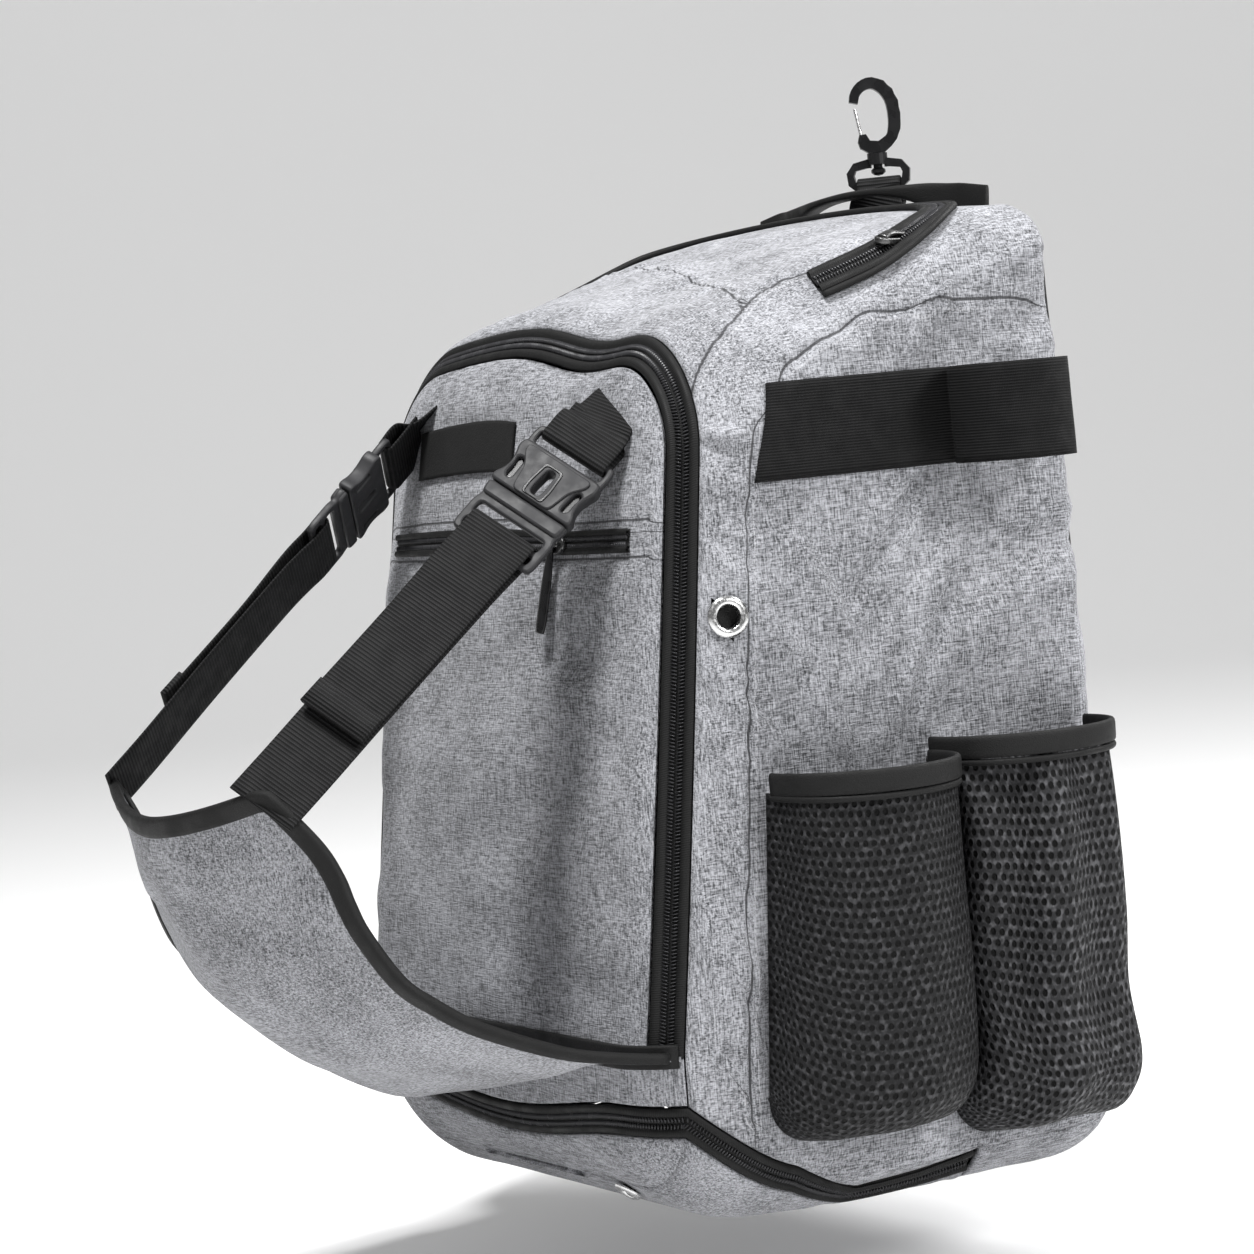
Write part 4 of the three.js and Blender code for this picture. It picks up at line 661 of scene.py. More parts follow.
VENT_Z = 295.1
VENT_Y = front_y(VENT_Z) + 28.3
VENT_RADIUS = 10.0
VENT_HOLE = 5.5
SIDE_ZONES = [
    ((way * 161, -96, 380), (14, 92, 25)) for way in (1, -1)
] + [
    ((way * 161, -108, 120), (16, 98, 98)) for way in (1, -1)
] + [
    ((way * 161, -210, 295), (16, 13, 13)) for way in (1, -1)
]
TOP_ZONES = [
    ((way * x, y, 470), (11, 11, 40)) for way in (1, -1) for x, y in [
        (0, -20), (15, -20), (30, -21), (45, -22), (57, -23), (72, -25), (90, -28), (107, -32), (121, -42),
        (133, -54), (138, -70), (141, -88), (139, -105), (136, -125),
    ]
]


def shoe_mark(k, shift):
    route = np.array([(0.0, 0.83), (0.35, 0.64), (0.58, 0.36), (0.8, 0.42), (1.0, 0.55)])
    k = np.minimum(k, K_SHOE)
    share = np.clip((k - K_OUTER) / (K_SHOE - K_OUTER), 0, 1)
    return 1 + np.interp(share, route[:, 0], route[:, 1]) + shift / (outline(k)["corner"] * math.pi / 2)


def height_mark(k, z):
    o = outline(k)
    low = o["bottom"] + o["corner"]
    return 2 + (z - low) / (o["top"] - o["shoulder"] - low)


def arch(k, low, count):
    """Rows at the depths k from the mark low on the right, over the top, to the same mark on the left."""
    rows = []
    for one, start in zip(k, low):
        marks = start + (5 - start) * np.linspace(0, 1, count)
        x, z = flat_point(one, marks)
        right = place(one, x, z)
        left = place(one, -x[:-1], z[:-1])[::-1]
        rows.append(np.concatenate([right, left]))
    return np.array(rows)


def cradle(k, high, count):
    """Rows at the depths k from the mark high on the left, under the bottom, to it on the right."""
    rows = []
    for one, end in zip(k, high):
        x, z = flat_point(one, np.linspace(0, end, count))
        rows.append(np.concatenate([place(one, -x[1:], z[1:])[::-1], place(one, x, z)]))
    return np.array(rows)


ARCH_COLUMNS = 170
BODY_ROWS = 84


SEAM_PUCKER = 2.6
ZIP_PUCKER = 2.8
SIDE_FOLDS = 6.2
PANEL_FOLDS = 4.4
FLAP_FOLDS = 5.4


def gusset_relief(u, v, distance, along, grid):
    front_edge = v - v.min()
    seam_folds = SEAM_PUCKER * pucker(distance, along)
    zip_folds = ZIP_PUCKER * np.exp(-front_edge / 18) * wander(u / 13, v / 80, 21.0)
    side = np.clip((np.abs(grid[..., 0]) - 120) / 30, 0, 1)
    soft = SIDE_FOLDS * folds(v, u, long=60, short=24) * (0.4 + 0.6 * side)
    ridge = 0.9 * np.exp(-((np.abs(distance) - 3.2) ** 2) / 5) - 1.3 * np.exp(-(distance**2) / 2.5)
    edge = np.clip(front_edge / 6, 0, 1) * np.clip((v.max() - v) / 6, 0, 1)
    still = calm(grid, SIDE_ZONES + TOP_ZONES)
    return (seam_folds + zip_folds + soft) * edge * still + ridge * (0.3 + 0.7 * still)


def vent_hole(points):
    """The faces that the vents take out of the side walls."""
    away = np.hypot(points[:, 1] - VENT_Y, points[:, 2] - VENT_Z)
    return (away < 0.85 * VENT_RADIUS) & (np.abs(points[:, 0]) > 100)


def make_body():
    k = lerp(K_OUTER + K_GAP, 1.0, np.linspace(0, 1, BODY_ROWS))
    lift = SHOE_TAPE / 2 + SEAM_GAP
    low = shoe_mark(k, lift)
    gusset = arch(k, low, ARCH_COLUMNS)
    cloth("gusset", gusset, HEATHER, ["body_shell"], relief=gusset_relief, seams=BODY_SEAMS,
          hole=vent_hole)
    heel = cradle(k[k >= K_SHOE], shoe_mark(k[k >= K_SHOE], lift), 60)
    cloth("heel", heel, HEATHER, relief=slack(0.6, 7.0))
    marks = np.linspace(1.0, 4.0, 60)
    x, z = flat_point(1.0, marks)
    back = place(1.0, x[:, None] * np.linspace(-1, 1, 30)[None, :], z[:, None] + np.zeros((1, 30)))
    cloth("back_wall", back, HEATHER, seams=[])


FRONT_ACROSS = 130


def front_row(k, mark, wave=0.0):
    """A row across the front from edge to edge, with the shoe compartment's wave."""
    x, z = flat_point(k, mark)
    u = np.sin(np.linspace(math.pi / 2, -math.pi / 2, FRONT_ACROSS))
    shoe_wave = -SHOE_DIP * np.maximum(0, 1 - (u / 0.8) ** 2) ** 2
    row = front_point(x * u, z + wave * shoe_wave)
    row[0] = place(k, x, z)
    row[-1] = place(k, -x, z)
    return row


SLIT_LEVEL = 336
PANEL_ZONES = [
    ((0, -240, SLIT_LEVEL), (121, 14, 5)),
    ((-44, -230, 384), (54, 16, 13)),
    ((100, -226, 402), (20, 16, 12)),
    ((-100, -226, 402), (20, 16, 12)),
]
PANEL_SEAMS = [
    [(x, -240, SLIT_LEVEL + way * 9) for x in (134, 90, 40, 0, -40, -90, -134)] for way in (1, -1)
]


def panel_relief(u, v, distance, along, grid):
    rim = np.minimum.reduce([v - v.min(), v.max() - v, u - u.min(), u.max() - u])
    edge = np.clip(rim / 5, 0, 1)
    top_corner = np.exp(-(((grid[..., 0] - 96) / 40) ** 2 + ((grid[..., 2] - 404) / 30) ** 2))
    creases = PANEL_FOLDS * folds(u, v, long=90, short=40, seed=31.0)
    creases = creases + 1.6 * top_corner * wander(u / 12, v / 22, 35.0)
    zip_folds = 1.3 * np.exp(-rim / 14) * wander((u + v) / 16, (u - v) / 26, 33.0)
    ridge = 0.4 * np.exp(-((np.abs(distance) - 3) ** 2) / 4) - 0.7 * np.exp(-(distance**2) / 2)
    return (creases + zip_folds) * edge * calm(grid, PANEL_ZONES) + ridge


def make_front():
    k = K_INNER - K_GAP
    marks = lerp(height_mark(k, HEM_HEIGHT + SEAM_GAP / 2), 4.0, np.linspace(0, 1, 120))
    panel = np.array([front_row(k, mark) for mark in marks])
    cloth("front_panel_cloth", panel, HEATHER, ["front_panel"], relief=panel_relief, seams=PANEL_SEAMS)
    k = K_OUTER - K_GAP
    low = shoe_mark(k, SHOE_TAPE / 2 + SEAM_GAP)
    hem = height_mark(k, HEM_HEIGHT - SEAM_GAP / 2)
    lower = np.array([front_row(k, lerp(low, hem, t), 1 - t) for t in np.linspace(0, 1, 18)])
    cloth("lower_panel_cloth", lower, HEATHER, ["lower_front_panel"],
          relief=slack(0.7, 41.0))


SHOE_SIDE = 60


def shoe_columns(way):
    """The shoe zipper's edge or middle line, from its back end on the right, round the front, to the left."""
    k = np.linspace(K_SHOE - 3 * K_GAP, K_OUTER, SHOE_SIDE)
    mark = shoe_mark(k, way * (SHOE_TAPE / 2 - SEAM_GAP))
    x, z = flat_point(k, mark)
    right = place(k, x, z)
    left = place(k, -x, z)[::-1]
    front = front_row(K_OUTER, shoe_mark(K_OUTER, way * (SHOE_TAPE / 2 - SEAM_GAP)), 1.0)
    return np.concatenate([right, front[1:-1], left])


def make_shoe_panel():
    def top(k):
        return shoe_mark(k, -SHOE_TAPE / 2 - SEAM_GAP)

    k = np.linspace(K_OUTER, K_SHOE - 3 * K_GAP, 50)
    under = cradle(k, top(k), 80)
    cloth("shoe_under", under, HEATHER, ["shoe_panel"], relief=under_relief)
    low_row = cradle([K_OUTER], np.array([1.0]), 65)[0][::-1]
    upper = [front_row(K_OUTER, lerp(1, top(K_OUTER), t), t) for t in np.linspace(0.15, 1, 12)]
    front = np.array([resample(low_row, FRONT_ACROSS), *upper])
    cloth("shoe_front", front, HEATHER)


def resample(row, count):
    run = run_along(row)
    at = np.linspace(0, run[-1], count)
    return np.stack([np.interp(at, run, row[:, i]) for i in range(3)], -1)


def under_relief(u, v, distance, along, grid):
    edge = np.clip((u.max() - np.abs(u)) / 6, 0, 1)
    from_toe = np.linalg.norm(grid - front_point(*TOE), axis=-1)
    edge = edge * np.clip((from_toe - 12) / 14, 0, 1)
    zip_folds = 1.2 * np.exp(-(u.max() - np.abs(u)) / 14) * wander(v / 13, u / 60, 53.0)
    return (1.1 * folds(u, v, seed=51.0) + zip_folds) * edge


# Flat moulded plates


def soften(points, radius, steps=5):
    """An outline with its corners rounded."""
    p = np.asarray(points, float)
    out = []
    for before, corner, after in zip(np.roll(p, 1, axis=0), p, np.roll(p, -1, axis=0)):
        to_before, to_after = before - corner, after - corner
        a = min(radius, 0.45 * np.linalg.norm(to_before))
        b = min(radius, 0.45 * np.linalg.norm(to_after))
        start = corner + to_before / np.linalg.norm(to_before) * a
        end = corner + to_after / np.linalg.norm(to_after) * b
        for t in np.linspace(0, 1, steps):
            out.append((1 - t) ** 2 * start + 2 * t * (1 - t) * corner + t * t * end)
    return out


def shifted(seat, move):
    at, x, y, z = seat
    return (at + x * move[0] + y * move[1] + z * move[2], x, y, z)


def plate(name, outer, thick, seat, material, nodes=(), holes=(), bevel=0.5, round_by=1.2):
    """A flat plate with rounded edges and holes, in a seat of (middle, x, y and z directions)."""
    curve = bpy.data.curves.new(name, "CURVE")
    curve.dimensions = "2D"
    curve.fill_mode = "BOTH"
    curve.extrude = thick / 2 - bevel
    curve.bevel_depth = bevel
    curve.bevel_resolution = 2
    curve.offset = -bevel
    for loop in (outer, *holes):
        points = soften(loop, round_by)
        spline = curve.splines.new("POLY")
        spline.points.add(len(points) - 1)
        for point, (x, y) in zip(spline.points, points):
            point.co = (x, y, 0, 1)
        spline.use_cyclic_u = True
    drawn = bpy.data.objects.new(name + "_outline", curve)
    bpy.context.scene.collection.objects.link(drawn)
    bpy.context.view_layer.update()
    mesh = bpy.data.meshes.new_from_object(drawn)
    at, x, y, z = seat
    local = np.array([v.co[:] for v in mesh.vertices])
    points = at + local[:, :1] * x + local[:, 1:2] * y + local[:, 2:] * z
    faces = [tuple(p.vertices) for p in mesh.polygons]
    if np.dot(np.cross(x, y), z) < 0:
        faces = [face[::-1] for face in faces]
    bpy.data.objects.remove(drawn)
    bpy.data.meshes.remove(mesh)
    obj = piece(name, points, faces, material, nodes)
    obj.data.set_sharp_from_angle(angle=math.radians(50))
    return obj


# Grommets

TOE = (0.52 * HALF_WIDTH, 0.037 * BACK_HEIGHT)
TOE_RADIUS = 7.0
TOE_HOLE = 3.5
RING_LIFT = 2.0


def frame_at(surface, u, v):
    """A point of a surface with its outward normal."""
    p = surface(u, v)
    n = unit(np.cross(surface(u + 1, v) - surface(u - 1, v), surface(u, v + 1) - surface(u, v - 1)))
    return p, n * (1 if np.dot(n, p - INSIDE) > 0 else -1)


def side_point(y, z):
    return np.stack([side_x(np.array(float(y)), np.array(float(z))), y, z])


def lathe(name, profile, at, out, material, nodes=(), sides=56):
    """A ring turned about the direction out through at, from (radius, height) pairs."""
    across = unit(np.cross(out, np.array([0.0, 0.0, 1.0])))
    up = np.cross(across, out)
    ring = smooth_path(np.array(profile), 6 * len(profile))
    turn = np.linspace(0, 2 * math.pi, sides + 1)[:-1]
    wheel = across * np.cos(turn)[:, None] + up * np.sin(turn)[:, None]
    points = at + wheel[None] * ring[:, None, :1] + out * ring[:, None, 1:]
    return piece(name, points.reshape(-1, 3), grid_faces(len(ring), sides, wrap=True), material, nodes)


def ring_profile(hole, rim):
    return [
        (hole, -4.5), (hole, -1.0), (hole + 0.25, 0.6), (hole + 0.9, 1.3), (lerp(hole, rim, 0.5), 1.5),
        (lerp(hole, rim, 0.8), 1.0), (rim, 0.1), (rim + 0.1, -0.6),
    ]


def make_grommets():
    centre, normal = frame_at(side_point, VENT_Y, VENT_Z)

    def vent(label, mirror):
        at, out = (centre + normal * RING_LIFT) * mirror, normal * mirror
        ring = ring_profile(VENT_HOLE, VENT_RADIUS)
        lathe(f"vent_ring_{label}", ring, at, out, METAL, [f"vent_grommet_{label}"])
        # A black cup behind the ring's hole: painted shade that stands for the dark inside of the bag.
        shade_cup = [(VENT_HOLE + 0.4, 0.2), (VENT_HOLE + 0.4, -4.0), (VENT_HOLE + 0.2, -5.0), (0.2, -5.2)]
        lathe(f"vent_shade_cup_{label}", shade_cup, at, out, BLACK)

    both(vent)
    at, out = frame_at(front_point, *TOE)
    lathe("toe_ring", ring_profile(TOE_HOLE, TOE_RADIUS), at + out * RING_LIFT, out, METAL, ["shoe_grommet"])
    # A black cup behind the toe ring's hole: painted shade that stands for the dark inside of the shoe
    # compartment.
    shade_cup = [(TOE_HOLE + 0.3, 0.2), (TOE_HOLE + 0.3, -2.0), (TOE_HOLE, -3.0), (0.2, -3.2)]
    lathe("toe_shade_cup", shade_cup, at + out * RING_LIFT, out, BLACK)


# Zippers

TAPE_THICK = 1.8


def zipper_tape(name, edges, nodes, proud=0.0):
    """A tape between two edge lines with folded lips, and a coil of two rows of teeth along its middle."""
    a, b = (np.asarray(edge) for edge in edges)
    shares = np.array([0, 0.05, 0.14, 0.24, 0.3, 0.5, 0.7, 0.76, 0.86, 0.95, 1.0])
    lip = np.array([0.0, 1.0, 1.3, 0.9, -0.5, -0.7, -0.5, 0.9, 1.3, 1.0, 0.0])
    grid = a[None] + (b - a)[None] * shares[:, None, None]
    normals = normals_of(grid)
    grid = grid + normals * (lip[:, None, None] + proud)
    u, v = lengths(grid)
    inner = grid - normals * TAPE_THICK
    n, m = u.shape
    faces = grid_faces(n, m)
    p, q, r = grid[0, 0], grid[0, 1], grid[1, 1]
    if np.dot(np.cross(q - p, r - p), normals[0, 0]) < 0:
        faces = faces[:, ::-1]
    points = np.concatenate([grid.reshape(-1, 3), inner.reshape(-1, 3)])
    every = np.concatenate([faces, faces[:, ::-1] + n * m])
    fields = {"along": np.tile(u.ravel(), 2), "across": np.tile(v.ravel(), 2)}
    piece(name, points, every, TAPE, nodes, fields=fields)
    middle = len(shares) // 2
    coil(name + "_coil", grid[middle], normals[middle])


TOOTH_PITCH = 1.7
COIL_HALF = 3.9


def coil(name, line, normals):
    """Teeth as slanted beads to both sides of a line."""
    run = run_along(line)
    at = np.arange(TOOTH_PITCH, run[-1] - TOOTH_PITCH, TOOTH_PITCH)
    p = np.stack([np.interp(at, run, line[:, i]) for i in range(3)], -1)
    n = np.stack([np.interp(at, run, normals[:, i]) for i in range(3)], -1)
    t = unit(np.gradient(p, axis=0))
    n = unit(n - t * np.sum(n * t, -1, keepdims=True))
    s = np.cross(n, t)
    section = [(0.15, -0.5, 0.0), (0.15, 0.5, 0.0), (0.15, 0.0, 1.7), (0.55, -0.5, 0.0), (0.55, 0.5, 0.0),
               (0.55, 0.0, 1.9), (1.0, -0.4, 0.0), (1.0, 0.4, 0.0), (1.0, 0.0, 0.6)]
    points, faces = [], []
    rings = [(0, 1, 2), (3, 4, 5), (6, 7, 8)]
    for way in (1, -1):
        for i in range(len(p)):
            base = len(points)
            slant = 0.9 * TOOTH_PITCH
            for out, along, up in section:
                q = p[i] + s[i] * way * out * COIL_HALF + t[i] * (along * 1.1 + out * slant * 0.5) + n[i] * up
                points.append(q + t[i] * (0.5 * TOOTH_PITCH if way > 0 else 0))
            for a, b in zip(rings[:-1], rings[1:]):
                for j in range(3):
                    k = (j + 1) % 3
                    quad = (base + a[j], base + a[k], base + b[k], base + b[j])
                    faces.append(quad if way > 0 else quad[::-1])
            ends = [(base, base + 2, base + 1), (base + 6, base + 7, base + 8)]
            faces += ends if way > 0 else [e[::-1] for e in ends]
    piece(name, np.array(points), faces, COIL)


ZIPPER_COLUMNS = 220


def make_front_zipper():
    edges = []
    for k in (K_INNER + K_GAP, K_OUTER - K_GAP):
        low = height_mark(k, HEM_HEIGHT + SEAM_GAP / 2)
        edges.append(arch([k], np.array([low]), ZIPPER_COLUMNS)[0])
    zipper_tape("front_zipper_tape", edges, ["front_zipper"])


def make_shoe_zipper():
    zipper_tape("shoe_zipper_tape", [shoe_columns(1), shoe_columns(-1)], ["shoe_zipper"])


def strip(x, z, length, height, columns=60):
    """The two long edges of a strip on the front surface round x, z."""
    span = np.linspace(-length / 2, length / 2, columns)
    return [front_point(x + span, z + way * height / 2) for way in (1, -1)]


SLIT_LENGTH = 240
SLIT_HEIGHT = 13
SLIDER = [(-6, -4.6), (4, -4.6), (7.5, -2), (7.5, 2), (4, 4.6), (-6, 4.6), (-7, 3.2), (-7, -3.2)]


def make_slit():
    zipper_tape("slit_tape", strip(0, SLIT_LEVEL, SLIT_LENGTH, SLIT_HEIGHT), ["slit_zipper"], proud=1.6)
    x, z = 0.38 * HALF_WIDTH, SLIT_LEVEL - 1
    at, out = frame_at(front_point, x, z)
    along = np.array([1.0, 0.0, 0.0])
    up = unit(np.cross(out, along))
    along = np.cross(up, out)
    seat = (at + out * 3.2, along, up, out)
    plate("slit_slider_body", SLIDER, 3.2, seat, GUNMETAL, ["slit_slider"], bevel=0.9)
    bridge = [(-3.5, -1.6), (4.5, -1.6), (4.5, 1.6), (-3.5, 1.6)]
    plate("slit_slider_bridge", bridge, 2.4, shifted(seat, (0, 0, 2.4)), GUNMETAL, bevel=0.8)
    tilt = math.radians(-8)
    hang = -up * math.cos(tilt) + along * math.sin(tilt)
    pull = np.array([at + out * 6.2 + hang * d for d in (0, 6, 12, 20, 30, 40, 44)])
    width = np.array([3.0, 4.0, 6.5, 8.0, 8.4, 8.2, 6.0])
    turned = np.cross(hang, out)
    path = smooth_path(pull, 40)
    sweep("slit_pull", path, turned, smooth_path(width[:, None], 40)[:, 0], 3.0, GLOSS,
          section=ROUND_SECTION)


PATCH = (-0.26 * HALF_WIDTH, 384, 104, 26)


def make_patch():
    x, z, length, height = PATCH
    rows = np.linspace(-height / 2, height / 2, 16)
    span = np.linspace(-length / 2, length / 2, 60)
    grid = np.array([front_point(x + span, z + row) for row in rows])
    normals = normals_of(grid)
    cloth("hook_patch_cloth", grid + normals * 2.2, LOOPS, ["hook_patch"], thick=1.5)


def make_hem():
    """The black band over the flap's root, sewn across the front at the hem."""
    x, _ = flat_point(K_OUTER, height_mark(K_OUTER, HEM_HEIGHT))
    span = np.linspace(-x, x, 110)
    path = front_point(span, HEM_HEIGHT + 1.5 + 0 * span)
    sweep("hem_band", path + np.array([0, -3.2, 0]), (0, 0, 1), 11.5, 3.2, BLACK)


TOP_TAPE = 15
SLIDER_ROW = -36
TOP_ROUTE = np.array([(0.0, 0.075), (0.35, 0.085), (0.66, 0.12), (0.82, 0.2), (0.87, 0.33), (0.84, 0.48)])


def top_line(count=200):
    half = TOP_ROUTE * np.array([HALF_WIDTH, -BASE_DEPTH])
    both_ways = np.concatenate([half[::-1] * np.array([-1, 1]), half[1:]])
    return smooth_path(both_ways, count)


def make_top_zipper():
    line = top_line()
    t = unit(np.gradient(line, axis=0))
    beside = np.stack([-t[:, 1], t[:, 0]], -1)
    edges = []
    for way in (1, -1):
        p = line + beside * way * TOP_TAPE / 2
        edges.append(np.stack([p[:, 0], p[:, 1], top_z(p[:, 0], p[:, 1])], -1))
    zipper_tape("top_tape", edges, ["top_zipper"], proud=1.7)
    for label, edge in (("rear", edges[0]), ("front", edges[1])):
        normals = normals_of(np.array([edge - [0, 1, 0], edge + [0, 1, 0]]))[0]
        sweep(f"top_piping_{label}", edge + normals * 1.4, normals, 3.4, 3.4, BLACK, section=ROUND_SECTION)
    x, y = TOP_ROUTE[4] * np.array([HALF_WIDTH, -BASE_DEPTH])
    at = np.array([x, y, float(top_z(np.array(x), np.array(y)))])
    step = np.array([*t[SLIDER_ROW], 0])
    out = np.array([0.35, -0.1, 1.0])
    out = unit(out - step * np.dot(out, step))
    seat = (at + out * 3.4, step, np.cross(out, step), out)
    plate("top_slider_body", SLIDER, 3.4, seat, GUNMETAL, ["top_slider"], bevel=0.9)
    pull = ((-4, 5), (2, 7), (10, 6.6), (20, 5.6), (26, 4.6))
    path = smooth_path(np.array([at + out * height - step * back for back, height in pull]), 30)
    sweep("top_pull", path, np.cross(out, step), 6.0, 2.6, GUNMETAL, section=ROUND_SECTION)


# Bands, straps and bindings

BAND_HALF = [
    (-1, 0), (-0.985, 0.6), (-0.95, 0.95), (-0.8, 1), (-0.4, 1), (0, 1), (0.4, 1), (0.8, 1), (0.95, 0.95),
    (0.985, 0.6),
]
BAND_SECTION = np.array([*BAND_HALF, *[(-across, -up) for across, up in BAND_HALF]])
PAD_SECTION = np.array([
    [math.copysign(abs(part) ** 0.6, part) for part in (math.cos(a), math.sin(a))]
    for a in np.linspace(0, 2 * math.pi, 33)[:-1]
])
ROUND_SECTION = np.array([(math.cos(a), math.sin(a)) for a in np.linspace(0, 2 * math.pi, 15)[:-1]])


def sweep(name, path, side, width, thick, material, nodes=(), section=BAND_SECTION):
    """A band along a path: side is the direction of its width, and width and thick may change on the way."""
    path = np.asarray(path, float)
    n = len(path)
    side = np.broadcast_to(np.asarray(side, float), (n, 3))
    width = np.broadcast_to(np.asarray(width, float), (n,))
    thick = np.broadcast_to(np.asarray(thick, float), (n,))
    tangent = unit(np.gradient(path, axis=0))
    face = unit(np.cross(side, tangent))
    across = np.cross(tangent, face)
    points = (path[:, None] + across[:, None] * section[None, :, :1] * width[:, None, None] / 2
              + face[:, None] * section[None, :, 1:] * thick[:, None, None] / 2)
    m = len(section)
    along = np.repeat(run_along(path)[:, None], m, 1)
    beside = section[None, :, 0] * width[:, None] / 2
    faces = [list(q) for q in grid_faces(n, m, wrap=True)]
    faces += [list(range(m))[::-1], [(n - 1) * m + i for i in range(m)]]
    first = np.cross(points[0, 1] - points[0, 0], points[1, 0] - points[0, 0])
    outward = np.dot(first, points[0, 0] - path[0]) > 0
    if not outward:
        faces = [corners[::-1] for corners in faces]
    fields = {"along": along, "across": beside + 0 * along}
    uv = np.stack([fields["across"].ravel(), along.ravel()], -1)
    return piece(name, points.reshape(-1, 3), faces, material, nodes, fields, uv)


def both(make):
    """Makes a piece on the right and its mirror image on the left."""
    for label, way in (("right", 1.0), ("left", -1.0)):
        make(label, np.array([way, 1.0, 1.0]))


# The flap that slings under a round load

FLAP_REACH = 176
FLAP_RISE = 126
BINDING = 8
FLAP_HANG = 1.7
FLAP_ROWS = np.array([
    # edge_x, edge_reach, edge_rise, mid_reach, mid_rise
    (0.90, 0.07, 0.03, 0.045, -0.11),
    (0.85, 0.23, 0.08, 0.125, -0.175),
    (0.815, 0.45, 0.21, 0.31, -0.16),
    (0.78, 0.57, 0.32, 0.50, -0.05),
    (0.75, 0.65, 0.42, 0.66, 0.10),
    (0.70, 0.72, 0.60, 0.80, 0.32),
    (0.67, 0.745, 0.71, 0.885, 0.54),
    (0.635, 0.76, 0.82, 0.95, 0.75),
    (0.60, 0.795, 0.94, 0.985, 0.89),
    (0.53, 0.88, 1.12, 1.0, 1.0),
])


def flap_row(row, t):
    edge_x, edge_reach, edge_rise, mid_reach, mid_rise = row
    hang = np.abs(t) ** FLAP_HANG
    reach = lerp(mid_reach, edge_reach, hang)
    rise = lerp(mid_rise, edge_rise, hang)
    across = t * edge_x * HALF_WIDTH
    return np.stack([across, -BASE_DEPTH - reach * FLAP_REACH, HEM_HEIGHT + rise * FLAP_RISE], -1)


def flap_grid(rows, columns):
    t = np.linspace(-1, 1, columns)
    x, z = flat_point(K_OUTER, height_mark(K_OUTER, HEM_HEIGHT))
    root = front_point(t * x, z + 0 * t) + np.array([0, -2 * FIT - WALL / 2, 0])
    coarse = np.array([root, *[flap_row(row, t) for row in FLAP_ROWS]])
    return np.stack([smooth_path(coarse[:, j], rows) for j in range(columns)], 1)


def flap_relief(u, v, distance, along, grid):
    rim = np.minimum.reduce([u - u.min(), u.max() - u, v.max() - v])
    pull = np.exp(-rim / 20) * wander(v / 13, u / 70, 61.0) * 1.3
    inner = np.clip((rim - 5) / 28, 0, 1)
    root = np.clip((v - v.min()) / 20, 0, 1)
    sag = FLAP_FOLDS * folds(u, v, long=110, short=30, seed=63.0) * inner
    return (sag + pull * np.clip((rim - 3) / 6, 0, 1)) * root


def make_flap():
    grid = flap_grid(90, 120)
    middle = np.array([0, -BASE_DEPTH - FLAP_REACH / 2, HEM_HEIGHT + FLAP_RISE])
    normals = normals_of(grid, middle)
    flap = cloth("flap_cloth", grid + normals * WALL / 2, HEATHER, ["helmet_flap"],
                 relief=flap_relief, inside=middle)
    edge = np.concatenate([grid[3:, -1], grid[-1, ::-1][1:-1], grid[3:, 0][::-1]])
    right, left = grid[3:, -1] - grid[3:, -3], grid[3:, 0] - grid[3:, 2]
    beside = unit(np.concatenate([right, (grid[-1] - grid[-3])[::-1][1:-1], left[::-1]]))
    for _ in range(4):
        beside[1:-1] = (beside[:-2] + beside[1:-1] * 2 + beside[2:]) / 4
    path = edge + beside * (BINDING / 2 - 1.6)
    band = sweep("flap_binding_band", path, beside, BINDING + 2.4, 5.2, BLACK, ["flap_binding"],
                 section=fold_section())


def fold_section():
    """A binding's section: rounded at its outer edge, thin at the lips that grip the cloth."""
    over = [(-1, 0.55), (-0.9, 0.8), (-0.6, 0.9), (0, 0.95), (0.5, 1.0), (0.8, 0.85), (0.95, 0.5), (1, 0)]
    return np.array(over + [(s, -f) for s, f in over[::-1][1:]])


STRAP = 38
STRAP_THICK = 1.8
STRAP_FACE = np.array([0.7, -0.5, 0.5])
ANCHOR = (0.62 * HALF_WIDTH, 406.6)
BUCKLE_AT = 0.75
WEB_LIFT = 3.4
MALE_BAR = -20.5
FEMALE_BAR = 36.5
TAIL = 124


def strap_line():
    corner = flap_row(FLAP_ROWS[-1], np.array(1.0))
    anchor = front_point(*ANCHOR)
    along = unit(anchor - corner)
    side = unit(np.cross(along, STRAP_FACE))
    face = np.cross(side, along)
    return corner, anchor, along, side, face, lerp(corner, anchor, BUCKLE_AT)


def turn_round(bar, start):
    """Half a turn of webbing round a bar of the buckle."""
    turn = start + np.linspace(0, math.pi, 9)
    return [(bar + WEB_LIFT * math.cos(a), WEB_LIFT * math.sin(a)) for a in turn]


UPPER_ROWS = 110
ROOT_DEPTH = 9  # the sewn end goes through the seam of the panel


